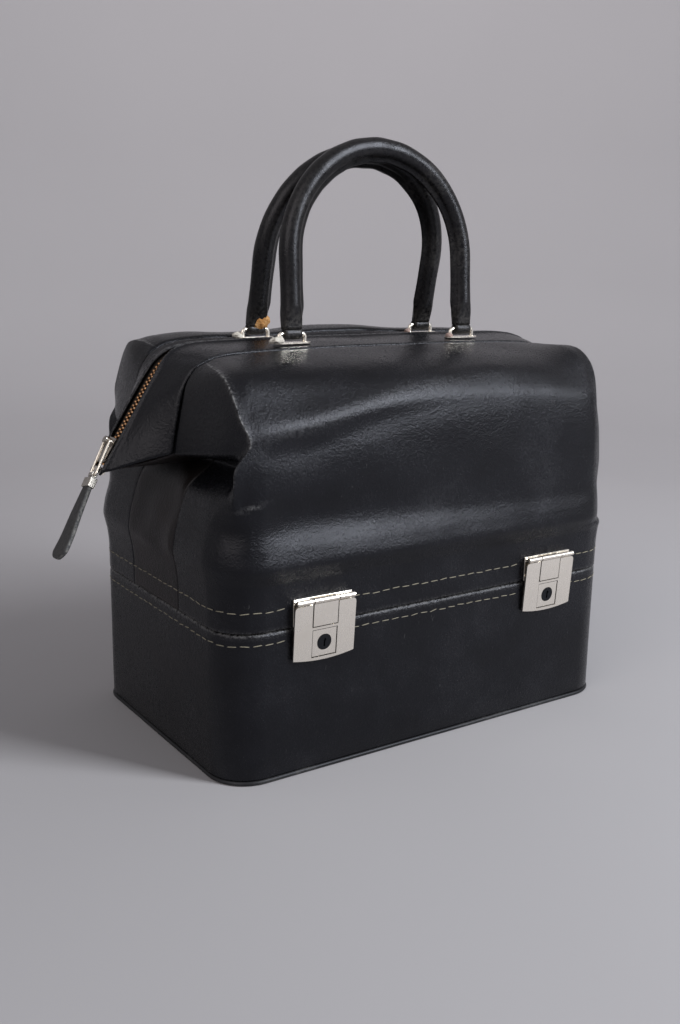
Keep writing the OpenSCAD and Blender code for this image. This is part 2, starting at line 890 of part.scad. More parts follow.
// Swing axis of the hasps, and the keeper plate that reaches up behind it
hasp_axis_y = -hd - leaf_t - lock_stand - hasp_y * cos(lock_lean) - hasp_z * sin(lock_lean);
hasp_axis_z = lower_h - lock_drop - hasp_y * sin(lock_lean) + hasp_z * cos(lock_lean);
keeper_top = hasp_axis_z + roll_small;
keeper_y = -hd - lie - leaf_t;
bridge_t = 1.2;
keeper_rivet_z = upper_z + 4;

module window(w) {
    translate([0, window_c])
        square(w, center = true);
}

module lock_base(side) {
    bottom = lower_h - lock_drop + lock_sag;
    color("silver")
        difference() {
            union() {
                translate([side * lock_x - keeper_half, -hd - leaf_t, bottom])
                    cube([2 * keeper_half, leaf_t, lower_h - lie - bottom]);
                intersection() {
                    at_lock(side)
                        translate([0, 3 * plate_t, 0])
                            pressed(3 * plate_t)
                                translate([-housing_half, lock_sag + 0.6])
                                    square([2 * housing_half, notch_z - lock_sag - 2]);
                    translate([side * lock_x - lock_w, -hd - 3 * lock_w, 0])
                        cube([2 * lock_w, 3 * lock_w - leaf_t / 2, lower_h]);
                }
            }
            at_lock(side)
                translate([0, 6 * plate_t, 0])
                    pressed(9 * plate_t)
                        window(window_w);
            latch_rivets_at(latch_rivet_z, rivet_shank + run, 2 * leaf_t);
        }
}

module left_lock_base() {
    lock_base(-1);
}

module right_lock_base() {
    lock_base(1);
}

// Face plate: rounded corners, a bowed foot, a notch for the hasp and a window for the button
module lock_face(side) {
    bow = (pow(lock_w / 2, 2) + pow(lock_sag, 2)) / (2 * lock_sag);
    color("gainsboro")
        at_lock(side)
            pressed(plate_t)
                difference() {
                    intersection() {
                        translate([0, lock_h / 2])
                            rounded(lock_w, lock_h, lock_corner);
                        translate([0, bow])
                            circle(bow, $fn = 180);
                    }
                    translate([-notch_w / 2, notch_z])
                        square([notch_w, lock_h]);
                    window(window_w);
                }
}

module left_lock_face() {
    lock_face(-1);
}

module right_lock_face() {
    lock_face(1);
}

button_front = plate_t - 0.4;
button_t = plate_t - 0.2;

module lock_button(side) {
    color("gainsboro")
        at_lock(side)
            translate([0, button_t - button_front, 0])
                difference() {
                    pressed(button_t)
                        window(button_w);
                    translate([0, eps, window_c])
                        rotate([90, 0, 0])
                            cylinder(r = plug_r + run, h = button_t + 2 * eps);
                }
}

module left_lock_button() {
    lock_button(-1);
}

module right_lock_button() {
    lock_button(1);
}

module key_plug(side) {
    slot_w = 1.4;
    color([0.05, 0.05, 0.05])
        at_lock(side)
            translate([0, button_t - button_front, window_c])
                rotate([90, 0, 0])
                    difference() {
                        cylinder(r = plug_r, h = button_t + 0.2);
                        translate([0, 0, 0.4])
                            linear_extrude(plate_t) {
                                translate([-slot_w / 2, -plug_r * 0.6])
                                    square([slot_w, plug_r * 0.9]);
                                translate([0, plug_r * 0.3])
                                    circle(slot_w);
                            }
                    }
}

module left_key_plug() {
    key_plug(-1);
}

module right_key_plug() {
    key_plug(1);
}

// Keeper on the rim of the bag, with a knuckle on each side of the hasp
module keeper(side) {
    knuckle_l = keeper_half - lie - hasp_half - pass;
    knuckle_x = keeper_half - lie - knuckle_l / 2;
    color("silver")
        difference() {
            union() {
                translate([side * lock_x - keeper_half, keeper_y, upper_z + lie])
                    cube([2 * keeper_half, leaf_t, keeper_top - upper_z - lie]);
                for (x = [-1, 1])
                    translate([side * lock_x + x * knuckle_x, hasp_axis_y, hasp_axis_z]) {
                        hinge_bar(roll_small, knuckle_l);
                        translate([-knuckle_l / 2, 0, -bridge_t / 2])
                            cube([knuckle_l, keeper_y + leaf_t / 2 - hasp_axis_y, bridge_t]);
                    }
            }
            translate([side * lock_x, hasp_axis_y, hasp_axis_z])
                hinge_bar(pin_small + run, lock_w);
            latch_rivets_at(keeper_rivet_z, rivet_shank + run, 2 * leaf_t);
        }
}

module left_keeper() {
    keeper(-1);
}

module right_keeper() {
    keeper(1);
}

module hasp(side) {
    foot = notch_z + pass;
    color("gainsboro")
        at_lock(side)
            difference() {
                union() {
                    translate([0, -0.2, 0])
                        pressed(plate_t)
                            translate([-hasp_half, foot])
                                square([2 * hasp_half, hasp_z - foot]);
                    translate([0, -hasp_y, hasp_z])
                        hinge_bar(roll_small, 2 * hasp_half);
                }
                translate([0, -hasp_y, hasp_z])
                    hinge_bar(pin_small + run, lock_w);
            }
}

module left_hasp() {
    hasp(-1);
}

module right_hasp() {
    hasp(1);
}

module hasp_pin(side) {
    color("silver")
        at_lock(side)
            translate([0, -hasp_y, hasp_z])
                hinge_bar(pin_small, 2 * keeper_half);
}

module left_hasp_pin() {
    hasp_pin(-1);
}

module right_hasp_pin() {
    hasp_pin(1);
}

module hinge_bore(side) {
    translate([side * hinge_x, axis_y, axis_z])
        hinge_bar(pin_r + run, hinge_w + 2);
}

// Lower leaf: two outer knuckles on a plate that is cut away round the middle one
module hinge_lower_leaf(side) {
    outer = hinge_w / 2 - mid_half - pass / 2;
    color("silver")
        difference() {
            union() {
                translate([side * hinge_x - hinge_w / 2, hd, axis_z - leaf_h])
                    cube([hinge_w, leaf_t, leaf_h - knuckle_r - pass]);
                for (x = [-1, 1])
                    translate([side * hinge_x + x * (hinge_w - outer) / 2, 0, 0]) {
                        translate([0, axis_y, axis_z])
                            hinge_bar(knuckle_r, outer);
                        translate([-outer / 2, hd, axis_z - leaf_h])
                            cube([outer, leaf_t, leaf_h - parting_gap / 2]);
                    }
            }
            hinge_bore(side);
            hinge_rivets_at(hinge_rivet_low, rivet_shank + run, 2 * leaf_t);
        }
}

module left_hinge_lower_leaf() {
    hinge_lower_leaf(-1);
}

module right_hinge_lower_leaf() {
    hinge_lower_leaf(1);
}

module hinge_upper_leaf(side) {
    middle = 2 * mid_half - pass / 2;
    color("silver")
        difference() {
            union() {
                translate([side * hinge_x - hinge_w / 2, hd + lie, axis_z + knuckle_r + pass])
                    cube([hinge_w, leaf_t, leaf_h - 1 - knuckle_r - pass]);
                translate([side * hinge_x, axis_y, axis_z])
                    hinge_bar(knuckle_r, middle);
                translate([side * hinge_x - middle / 2, hd + lie, axis_z])
                    cube([middle, leaf_t, leaf_h - 1]);
            }
            hinge_bore(side);
            hinge_rivets_at(hinge_rivet_high, rivet_shank + run, 3 * leaf_t);
        }
}

module left_hinge_upper_leaf() {
    hinge_upper_leaf(-1);
}

module right_hinge_upper_leaf() {
    hinge_upper_leaf(1);
}

module hinge_pin(side) {
    color("silver")
        translate([side * hinge_x, axis_y, axis_z])
            hinge_bar(pin_r, hinge_w);
}

module left_hinge_pin() {
    hinge_pin(-1);
}

module right_hinge_pin() {
    hinge_pin(1);
}

// Low domed rivet head that faces outwards along z
module rivet_dome() {
    intersection() {
        cylinder(r = rivet_r, h = rivet_head);
        translate([0, 0, rivet_head - 2 * rivet_r])
            sphere(r = 2 * rivet_r);
    }
}

module latch_rivets(z, seat) {
    color("silver")
        for (s = LATCH_SIDES, x = [-1, 1])
            translate([s * lock_x + x * rivet_x, -hd - seat, z])
                rotate([90, 0, 0]) {
                    rivet_dome();
                    translate([0, 0, -seat - wall_in])
                        cylinder(r = rivet_shank - run, h = seat + wall_in + eps);
                }
}

module hinge_rivets(z, seat) {
    color("silver")
        for (s = LATCH_SIDES, x = [-1, 0, 1])
            translate([s * hinge_x + x * rivet_spread, hd + seat, z])
                rotate([-90, 0, 0]) {
                    rivet_dome();
                    translate([0, 0, -seat - wall_in])
                        cylinder(r = rivet_shank - run, h = seat + wall_in + eps);
                }
}

module lock_rivets() {
    latch_rivets(latch_rivet_z, leaf_t);
}

module keeper_rivets() {
    latch_rivets(keeper_rivet_z, leaf_t + lie);
}

module lower_hinge_rivets() {
    hinge_rivets(hinge_rivet_low, leaf_t);
}

module upper_hinge_rivets() {
    hinge_rivets(hinge_rivet_high, leaf_t + lie);
}

lower_carcass();
lower_leather_wrap();
base_panel();
base_welt();
lower_lining();
rim_frame();
divider_board();
divider_lining();
front_panel();
back_panel();
left_gusset();
right_gusset();
front_zip_facing();
back_zip_facing();
front_zip_tape();
back_zip_tape();
front_zip_teeth();
back_zip_teeth();
left_zip_stop();
right_zip_stop();
zip_slider();
zip_pull_link();
zip_pull_clip();
zip_pull_tab();
front_top_stiffener();
back_top_stiffener();
front_left_handle_loop();
front_right_handle_loop();
back_left_handle_loop();
back_right_handle_loop();
front_handle_cover();
back_handle_cover();
front_handle_core();
back_handle_core();
left_lock_base();
right_lock_base();
left_lock_face();
right_lock_face();
left_lock_button();
right_lock_button();
left_key_plug();
right_key_plug();
left_keeper();
right_keeper();
left_hasp();
right_hasp();
left_hasp_pin();
right_hasp_pin();
left_hinge_lower_leaf();
right_hinge_lower_leaf();
left_hinge_upper_leaf();
right_hinge_upper_leaf();
left_hinge_pin();
right_hinge_pin();
lock_rivets();
keeper_rivets();
lower_hinge_rivets();
upper_hinge_rivets();
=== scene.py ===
"""Dresses a two-tier train case in worn black leather, nickel and brass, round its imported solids.

Shapes are worked out in millimetres and put into the meshes in metres. The front, with the
latches, faces -Y, and the zip slider is at the -X end.
"""

import json
import logging
from dataclasses import dataclass
from enum import Enum
from typing import Any, Mapping, Sequence

import bmesh
import bpy
import numpy as np
from mathutils import Matrix


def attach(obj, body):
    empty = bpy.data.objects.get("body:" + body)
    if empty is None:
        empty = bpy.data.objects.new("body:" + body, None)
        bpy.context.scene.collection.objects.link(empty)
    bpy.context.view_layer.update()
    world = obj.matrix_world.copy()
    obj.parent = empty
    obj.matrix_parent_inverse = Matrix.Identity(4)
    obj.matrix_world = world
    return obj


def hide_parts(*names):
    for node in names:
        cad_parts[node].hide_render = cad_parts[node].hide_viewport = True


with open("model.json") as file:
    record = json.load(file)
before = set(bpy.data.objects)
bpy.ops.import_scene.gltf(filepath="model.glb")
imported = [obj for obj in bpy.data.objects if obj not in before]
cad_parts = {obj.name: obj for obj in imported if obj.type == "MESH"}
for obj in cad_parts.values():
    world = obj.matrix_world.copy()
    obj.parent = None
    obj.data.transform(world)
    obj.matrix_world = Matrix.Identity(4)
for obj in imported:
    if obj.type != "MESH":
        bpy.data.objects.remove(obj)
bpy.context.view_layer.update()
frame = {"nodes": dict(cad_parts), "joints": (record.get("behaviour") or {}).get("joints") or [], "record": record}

LOG = logging.getLogger("train_case")
MM = 0.001
SEED = 7
# Edges of the metal that turn by more than this are softened
EDGE_ANGLE = np.radians(35.0)
Array = np.ndarray
Colour = tuple[float, float, float]
Triple = tuple[float, float, float]


class Side(Enum):
    """The long sides of the case, with the sign of their y."""

    FRONT = -1
    BACK = 1


class End(Enum):
    """The short ends of the case, with the sign of their x."""

    LEFT = -1
    RIGHT = 1


class Body(Enum):
    """The moving bodies that new pieces ride on."""

    LOWER = "lower_case"
    BAG = "upper_bag"
    FRONT_HANDLE = "front_handle"
    BACK_HANDLE = "back_handle"
    TAB = "zip_tab"


# Plain maths on arrays


def mix(a: Any, b: Any, t: Any) -> Any:
    """Goes from a to b as t goes from 0 to 1."""
    return a + (b - a) * t


def smooth(low: float, high: float, x: Array) -> Array:
    """Rises from 0 at low to 1 at high with level ends."""
    t = np.clip((x - low) / (high - low), 0.0, 1.0)
    return t * t * (3.0 - 2.0 * t)


def bell(x: Array, middle: Any, width: Any) -> Array:
    """A hump of height 1 at middle that has nearly gone two widths away."""
    return np.exp(-(((x - middle) / width) ** 2))


def unit(v: Array) -> Array:
    """Scales vectors along the last axis to length 1."""
    return v / np.maximum(np.linalg.norm(v, axis=-1, keepdims=True), 1e-9)


def curve_at(points: Array, places: Array) -> Array:
    """Points on a smooth cubic through a list of points, straight on past its ends.

    Args:
        points: The list, along its first axis.
        places: Places on the curve, where k is the k-th point of the list.

    Returns:
        One point for each place.
    """
    last = len(points) - 1
    k = np.clip(np.floor(places).astype(int), 0, last - 1)
    t = (places - k).reshape(-1, *[1] * (points.ndim - 1))
    ends = np.concatenate([2 * points[:1] - points[1:2], points, 2 * points[-1:] - points[-2:-1]])
    a, b, c, d = ends[k], ends[k + 1], ends[k + 2], ends[k + 3]
    square, cube = 2 * a - 5 * b + 4 * c - d, 3 * b - a - 3 * c + d
    return 0.5 * (2 * b + (c - a) * t + square * t**2 + cube * t**3)


def kept_slopes(points: Array, gaps: Array) -> Array:
    """Slopes at the points of lists, such that a cubic between two points never leaves their range.

    Args:
        points: The lists, along the first axis.
        gaps: The distance from each point to the next.

    Returns:
        Harmonic means of the slopes on both sides, 0 where these differ in sign.
    """
    rise = np.diff(points, axis=0) / gaps.reshape(-1, *[1] * (points.ndim - 1))
    before, after = rise[:-1], rise[1:]
    same = before * after > 0
    safe = np.where(same, before + after, 1.0)
    inner = np.where(same, 2 * before * after / safe, 0.0)
    return np.concatenate([rise[:1], inner, rise[-1:]])


def lines_at(points: Array, places: Array) -> Array:
    """Points on cubics through lists of points that don't swing out between them.

    Args:
        points: The lists, along the first axis.
        places: Places on the cubics, where k is the k-th point of a list.

    Returns:
        One row of points for each place.
    """
    steps = np.linalg.norm(np.diff(points, axis=0), axis=-1)
    gaps = steps.reshape(len(steps), -1).mean(axis=1)
    slopes = kept_slopes(points, gaps)
    k = np.clip(np.floor(places).astype(int), 0, len(points) - 2)
    t = (places - k).reshape(-1, *[1] * (points.ndim - 1))
    gap = gaps[k].reshape(t.shape)
    ease = t * t * (3 - 2 * t)
    return (mix(points[k], points[k + 1], ease) + gap * t * (1 - t) ** 2 * slopes[k]
            - gap * t * t * (1 - t) * slopes[k + 1])


def grid_normals(points: Array) -> Array:
    """Unit normals of a grid: the direction along its columns crossed with that along its rows."""
    return unit(np.cross(np.gradient(points, axis=1), np.gradient(points, axis=0)))


def mirrored(points: Array, axis: int) -> Array:
    """The same points with one coordinate turned to its opposite.

    Args:
        points: Places, along all but the last axis.
        axis: Number of the coordinate.

    Returns:
        The mirrored places.
    """
    turned = points.copy()
    turned[..., axis] *= -1
    return turned


def waves(points: Array, length: float, count: int, seed: int) -> Array:
    """Smooth unevenness between about -1 and 1: a sum of sine waves in fixed random directions.

    Args:
        points: Places in millimetres.
        length: Typical wavelength in millimetres.
        count: Number of waves.
        seed: Seed of the directions and phases.

    Returns:
        One value for each place.
    """
    draw = np.random.default_rng(seed)
    ways = unit(draw.normal(size=(count, 3))) * (2 * np.pi / length) * draw.uniform(0.6, 1.5, (count, 1))
    phase = draw.uniform(0, 2 * np.pi, count)
    return np.sin(points @ ways.T + phase).sum(axis=-1) / np.sqrt(count)


# Meshes


@dataclass
class Patch:
    """A mesh in millimetres: its points, its faces and named values for each point."""

    points: Array
    faces: Array
    values: dict[str, Array]

    @classmethod
    def grid(cls, points: Array, ring: bool = False, flip: bool = False, loop: bool = False,
             **values: Array) -> "Patch":
        """Joins a grid of points by four-sided faces.

        Args:
            points: Grid of rows by columns.
            ring: Whether the last column joins the first.
            flip: Whether the faces look the other way.
            loop: Whether the last row joins the first.
            values: Grids of values that go along with the points.

        Returns:
            The mesh, whose faces look along columns crossed with rows.
        """
        rows, cols = points.shape[:2]
        index = np.arange(rows * cols).reshape(rows, cols)
        if ring:
            index = np.concatenate([index, index[:, :1]], axis=1)
        if loop:
            index = np.concatenate([index, index[:1]])
        corners = [index[:-1, :-1], index[:-1, 1:], index[1:, 1:], index[1:, :-1]]
        faces = np.stack(corners, -1).reshape(-1, 4)
        faces = faces[:, ::-1] if flip else faces
        return cls(points.reshape(-1, 3), faces, {k: v.reshape(-1) for k, v in values.items()})

    @classmethod
    def copies(cls, shape: "Patch", places: Array, frames: Array) -> "Patch":
        """Repeats a small shape, set at each place with its three axes along that place's frame.

        Args:
            shape: The small shape.
            places: Where its origin goes, one place for each copy.
            frames: The three axes of each copy.

        Returns:
            The mesh of all the copies.
        """
        spots = places[:, None, :] + np.einsum("pk,nkc->npc", shape.points, frames)
        step = np.arange(len(places))[:, None, None] * len(shape.points)
        faces = (shape.faces[None] + step).reshape(-1, shape.faces.shape[1])
        values = {k: np.tile(v, len(places)) for k, v in shape.values.items()}
        return cls(spots.reshape(-1, 3), faces, values)

    def closed(self, ring: int, flip: bool = False) -> "Patch":
        """Caps the first and the last ring of a tube of rings with a point in the middle of each.

        Args:
            ring: Number of points of a ring.
            flip: Whether the tube's faces look the other way.

        Returns:
            The closed mesh.
        """
        total = len(self.points)
        middles = np.stack([self.points[:ring].mean(axis=0), self.points[-ring:].mean(axis=0)])
        k = np.arange(ring)
        after = (k + 1) % ring
        middle = np.full(ring, total)
        first = np.stack([after, k, middle, middle], -1)
        start = total - ring
        last = np.stack([start + k, start + after, middle + 1, middle + 1], -1)
        caps = np.concatenate([first, last])
        caps = caps[:, ::-1] if flip else caps
        values = {n: np.append(v, [v[:ring].mean(), v[-ring:].mean()]) for n, v in self.values.items()}
        return Patch(np.concatenate([self.points, middles]), np.concatenate([self.faces, caps]), values)

    def filled(self, ring: int, flip: bool = False) -> "Patch":
        """Fills the inside of the first ring of a bed of rings with faces to a point in its middle.

        Args:
            ring: Number of points of a ring.
            flip: Whether the bed's faces look the other way.

        Returns:
            The mesh with its middle.
        """
        total = len(self.points)
        k = np.arange(ring)
        middle = np.full(ring, total)
        fan = np.stack([(k + 1) % ring, k, middle, middle], -1)
        fan = fan[:, ::-1] if flip else fan
        points = np.concatenate([self.points, self.points[:ring].mean(axis=0, keepdims=True)])
        values = {n: np.append(v, v[:ring].mean()) for n, v in self.values.items()}
        return Patch(points, np.concatenate([self.faces, fan]), values)


def joined(parts: Sequence[Patch]) -> Patch:
    """One mesh out of several that hold the same named values.

    Args:
        parts: The meshes.

    Returns:
        The whole.
    """
    starts = np.cumsum([0] + [len(p.points) for p in parts[:-1]])
    faces = np.concatenate([p.faces + s for p, s in zip(parts, starts)])
    values = {k: np.concatenate([p.values[k] for p in parts]) for k in parts[0].values}
    return Patch(np.concatenate([p.points for p in parts]), faces, values)


# Materials


class Shade:
    """A socket of a material's nodes, with arithmetic that adds Math nodes."""

    def __init__(self, tree: "Tree", socket: bpy.types.NodeSocket | None) -> None:
        """Keeps the socket and the tree that it belongs to."""
        self.tree = tree
        self.socket = socket

    def math(self, operation: str, a: Any, b: Any) -> "Shade":
        """Adds a Math node that works on a and b."""
        return self.tree.make("ShaderNodeMath", {"operation": operation}, {0: a, 1: b})

    def __add__(self, other: Any) -> "Shade":
        """self + other."""
        return self.math("ADD", self, other)

    __radd__ = __add__

    def __sub__(self, other: Any) -> "Shade":
        """self - other."""
        return self.math("SUBTRACT", self, other)

    def __rsub__(self, other: Any) -> "Shade":
        """other - self."""
        return self.math("SUBTRACT", other, self)

    def __mul__(self, other: Any) -> "Shade":
        """self * other."""
        return self.math("MULTIPLY", self, other)

    __rmul__ = __mul__

    def ramp(self, low: float, high: float) -> "Shade":
        """Rises from 0 at low to 1 at high with level ends."""
        sockets = {"Value": self, "From Min": low, "From Max": high}
        return self.tree.make("ShaderNodeMapRange", {"interpolation_type": "SMOOTHSTEP"}, sockets)

    def colours(self, a: Any, b: Any) -> "Shade":
        """Mixes colour a into colour b as the value goes from 0 to 1.

        Args:
            a: A colour or a socket that gives one.
            b: The other colour.

        Returns:
            The mixed colour.
        """
        whole = [(*c, 1.0) if isinstance(c, tuple) else c for c in (a, b)]
        sockets = {0: self, 6: whole[0], 7: whole[1]}
        return self.tree.make("ShaderNodeMix", {"data_type": "RGBA"}, sockets, 2)


class Tree:
    """The nodes of one material or world."""

    def __init__(self, owner: bpy.types.ID) -> None:
        """Empties the nodes of a material or world.

        Args:
            owner: The material or world.
        """
        owner.use_nodes = True
        self.owner = owner
        self.nodes = owner.node_tree.nodes
        self.links = owner.node_tree.links
        self.nodes.clear()

    def make(self, kind: str, settings: Mapping[str, Any], sockets: Mapping[Any, Any],
             out: Any = 0) -> Shade:
        """Adds any node.

        Args:
            kind: The node's type.
            settings: Its properties, set first.
            sockets: Values or links of its inputs, by name or number.
            out: The output to hand back, by name or number.

        Returns:
            That output, with no socket where the node has none.
        """
        node = self.nodes.new(kind)
        for key, value in settings.items():
            setattr(node, key, value)
        for key, value in sockets.items():
            if isinstance(value, Shade):
                self.links.new(value.socket, node.inputs[key])
            else:
                node.inputs[key].default_value = value
        return Shade(self, node.outputs[out] if node.outputs else None)

    def spot(self) -> Shade:
        """The place on the object, in metres."""
        return self.make("ShaderNodeTexCoord", {}, {}, "Object")

    def noise(self, at: Shade, scale: float, detail: float = 4.0, rough: float = 0.55) -> Shade:
        """Cloudy noise of the given number of clouds to the metre."""
        sockets = {"Vector": at, "Scale": scale, "Detail": detail, "Roughness": rough}
        return self.make("ShaderNodeTexNoise", {}, sockets)

    def stretched(self, at: Shade, scale: Triple, turn: Triple = (0.0, 0.0, 0.0)) -> Shade:
        """The place, turned and then drawn out along the axes with the smaller scales."""
        return self.make("ShaderNodeMapping", {}, {"Vector": at, "Rotation": turn, "Scale": scale})

    def value(self, name: str) -> Shade:
        """A named value that the piece's points carry, 0 where there is none."""
        return self.make("ShaderNodeAttribute", {"attribute_name": name}, {}, "Fac")

    def bump(self, height: Shade, strength: float, distance: float) -> Shade:
        """The normal of a surface raised by height."""
        sockets = {"Height": height, "Strength": strength, "Distance": distance}
        return self.make("ShaderNodeBump", {}, sockets)

    def surface(self, **sockets: Any) -> bpy.types.Material:
        """Ends the material in one principled surface.

        Args:
            sockets: Its inputs, with _ for a space.

        Returns:
            The finished material.
        """
        named = {k.replace("_", " "): v for k, v in sockets.items()}
        shader = self.make("ShaderNodeBsdfPrincipled", {}, named)
        self.make("ShaderNodeOutputMaterial", {}, {"Surface": shader})
        return self.owner


@dataclass(frozen=True)
class Leather:
    """Smooth dyed leather with fine grain, scuffs and scratches.

    Attributes:
        name: Name of the material.
        dark: The dye at its darkest.
        light: The dye at its lightest.
        scuffed: Colour where it is rubbed or scratched.
        rough: Mean roughness where it isn't rubbed.
        grain: Fineness of the pebbled grain.
        depth: Height of its relief, in metres.
        worn: Rubbing in its clouds, beside the wear that the points carry.
        clouds: Fineness of the clouds in the dye.
        patches: Fineness of the patches that hold scratches.
        specks: Fineness of the specks.
        shine: Strength of its reflections.
        tint: Tint of its reflections.
    """

    name: str
    dark: Colour
    light: Colour
    scuffed: Colour
    rough: float = 0.255
    grain: float = 900.0
    depth: float = 0.00045
    worn: float = 0.03
    clouds: float = 22.0
    patches: float = 110.0
    specks: float = 420.0
    shine: float = 0.26
    tint: Colour = (0.90, 0.91, 1.0)

    def material(self) -> bpy.types.Material:
        """Builds the finish: clouded dye, paler where the points say it is worn, over pebbled grain.

        Returns:
            The material.
        """
        tree = Tree(bpy.data.materials.new(self.name))
        at = tree.spot()
        cloud = tree.noise(at, self.clouds, 5.0)
        patch = tree.noise(at, self.patches, 4.0, 0.6)
        speck = tree.noise(at, self.specks, 6.0, 0.7)
        pebble = tree.make("ShaderNodeTexVoronoi", {"feature": "SMOOTH_F1"},
                           {"Vector": at, "Scale": self.grain})
        hair = tree.noise(tree.stretched(at, (90.0, 260.0, 15.0), (0.5, 0.3, 0.9)), 6.0, 3.0, 0.6)
        nick = tree.noise(tree.stretched(at, (240.0, 60.0, 20.0), (0.9, -0.4, 0.2)), 5.0, 3.0, 0.6)
        scratch = (hair.ramp(0.67, 0.71) + nick.ramp(0.69, 0.73)) * patch.ramp(0.48, 0.66)
        rub = (tree.value("wear") + self.worn * cloud.ramp(0.5, 0.8)) * speck.ramp(0.38, 0.64)
        dye = cloud.ramp(0.3, 0.75).colours(self.dark, self.light)
        colour = (rub * 0.9 + scratch * 0.1).colours(dye, self.scuffed)
        rough = self.rough + 0.12 * (cloud - 0.5) + 0.22 * (speck - 0.5) + 0.2 * rub
        height = speck * 1.1 + pebble * 0.5 + patch * 0.6 - scratch * 0.4
        normal = tree.bump(height, 0.8, self.depth)
        return tree.surface(Base_Color=colour, Roughness=rough, Specular_IOR_Level=self.shine,
                            Specular_Tint=(*self.tint, 1.0), Normal=normal)


@dataclass(frozen=True)
class Metal:
    """Plated sheet metal or wire, lightly brushed and tarnished.

    Attributes:
        name: Name of the material.
        colour: Colour of the clean metal.
        tarnish: Colour of the dull spots.
        rough: Roughness of the clean metal.
    """

    name: str
    colour: Colour
    tarnish: Colour
    rough: float = 0.24

    def material(self) -> bpy.types.Material:
        """Builds the finish: fine upright brushing, with dull spots in the tarnish colour.

        Returns:
            The material.
        """
        tree = Tree(bpy.data.materials.new(self.name))
        at = tree.spot()
        brushed = tree.noise(tree.stretched(at, (1800.0, 1800.0, 60.0)), 1.0, 3.0)
        cloud = tree.noise(at, 60.0, 4.0, 0.5)
        spots = tree.noise(at, 500.0, 3.0).ramp(0.72, 0.80) * cloud.ramp(0.5, 0.7)
        dull = cloud.ramp(0.4, 0.9) * 0.4 + spots * 0.5
        rough = self.rough + 0.05 * (brushed - 0.5) + 0.12 * dull
        normal = tree.bump(brushed, 0.02, 0.00005)
        colour = dull.colours(self.colour, self.tarnish)
        return tree.surface(Base_Color=colour, Roughness=rough, Metallic=1.0, Normal=normal)


@dataclass(frozen=True)
class Cloth:
    """Woven cloth, felt or thread.

    Attributes:
        name: Name of the material.
        dark: Its darkest colour.
        light: Its lightest colour.
        threads: Fineness of the weave.
    """

    name: str
    dark: Colour
    light: Colour
    threads: float = 1600.0

    def material(self) -> bpy.types.Material:
        """Builds the finish: two crossed sets of threads, mottled.

        Returns:
            The material.
        """
        tree = Tree(bpy.data.materials.new(self.name))
        at = tree.spot()
        turned = tree.stretched(at, (1.0, 1.0, 1.0), (1.57, 0.0, 1.57))
        wave = {"wave_profile": "SIN", "bands_direction": "DIAGONAL"}
        shape = {"Scale": self.threads / 6.0, "Distortion": 0.6, "Detail": 1.0}
        along, over = (tree.make("ShaderNodeTexWave", wave, {"Vector": way, **shape}, "Fac")
                       for way in (at, turned))
        mottle = tree.noise(at, 160.0, 4.0)
        weave = along * over
        colour = (mottle * 0.7 + weave * 0.3).colours(self.dark, self.light)
        normal = tree.bump(weave + mottle * 0.4, 0.5, 0.0002)
        return tree.surface(Base_Color=colour, Roughness=0.85 - 0.1 * weave, Specular_IOR_Level=0.25,
                            Normal=normal)


@dataclass(frozen=True)
class Board:
    """Fibreboard or raw leather, seen on cut faces.

    Attributes:
        name: Name of the material.
        dark: Its darkest colour.
        light: Its lightest colour.
    """

    name: str
    dark: Colour
    light: Colour

    def material(self) -> bpy.types.Material:
        """Builds the finish: flecks drawn out along the sheet.

        Returns:
            The material.
        """
        tree = Tree(bpy.data.materials.new(self.name))
        at = tree.spot()
        fleck = tree.noise(tree.stretched(at, (160.0, 160.0, 900.0)), 1.0, 6.0, 0.7)
        colour = fleck.ramp(0.3, 0.7).colours(self.dark, self.light)
        normal = tree.bump(fleck, 0.3, 0.0002)
        return tree.surface(Base_Color=colour, Roughness=0.75 + 0.2 * fleck, Normal=normal)


@dataclass(frozen=True)
class Backdrop:
    """The pale studio floor."""

    name: str
    colour: Colour

    def material(self) -> bpy.types.Material:
        """Builds the finish: matt paint with the faintest cloud in it.

        Returns:
            The material.
        """
        tree = Tree(bpy.data.materials.new(self.name))
        cloud = tree.noise(tree.spot(), 3.0, 3.0)
        darker = tuple(0.96 * c for c in self.colour)
        colour = cloud.colours(darker, self.colour)
        return tree.surface(Base_Color=colour, Roughness=0.9, Specular_IOR_Level=0.1)


BLACK_LEATHER = Leather("black_leather", (0.0030, 0.0031, 0.0040), (0.0064, 0.0066, 0.0084),
                        (0.27, 0.265, 0.265))
# Leather of the end gussets: its brown tint is partly the leather's own colour and partly a painted warm
# reflection from the left
END_LEATHER_WITH_PAINTED_WARM_REFLECTION = Leather("brown_black_leather", (0.0060, 0.0046, 0.0044), (0.0114, 0.0088, 0.0084),
                      (0.13, 0.11, 0.10), rough=0.36)
HANDLE_LEATHER = Leather("handle_leather", (0.0030, 0.0028, 0.0032), (0.0068, 0.0062, 0.0064),
                         (0.14, 0.13, 0.12), rough=0.30, grain=1100.0, depth=0.0002)
TAB_LEATHER = Leather("tab_leather", (0.022, 0.022, 0.023), (0.05, 0.05, 0.052), (0.26, 0.25, 0.23),
                      rough=0.48, grain=1300.0)
WELT_LEATHER = Leather("welt_leather", (0.009, 0.009, 0.010), (0.02, 0.02, 0.021), (0.22, 0.21, 0.20),
                       rough=0.45, grain=1300.0, depth=0.0001, worn=0.35)
SUEDE = Leather("torn_leather", (0.20, 0.085, 0.022), (0.46, 0.22, 0.07), (0.62, 0.36, 0.16),
                rough=0.85, grain=700.0, depth=0.0004, worn=0.5)
NICKEL = Metal("nickel", (0.95, 0.89, 0.80), (0.78, 0.72, 0.62), 0.27)
BRIGHT_NICKEL = Metal("bright_nickel", (0.50, 0.47, 0.43), (0.26, 0.23, 0.19), 0.26)
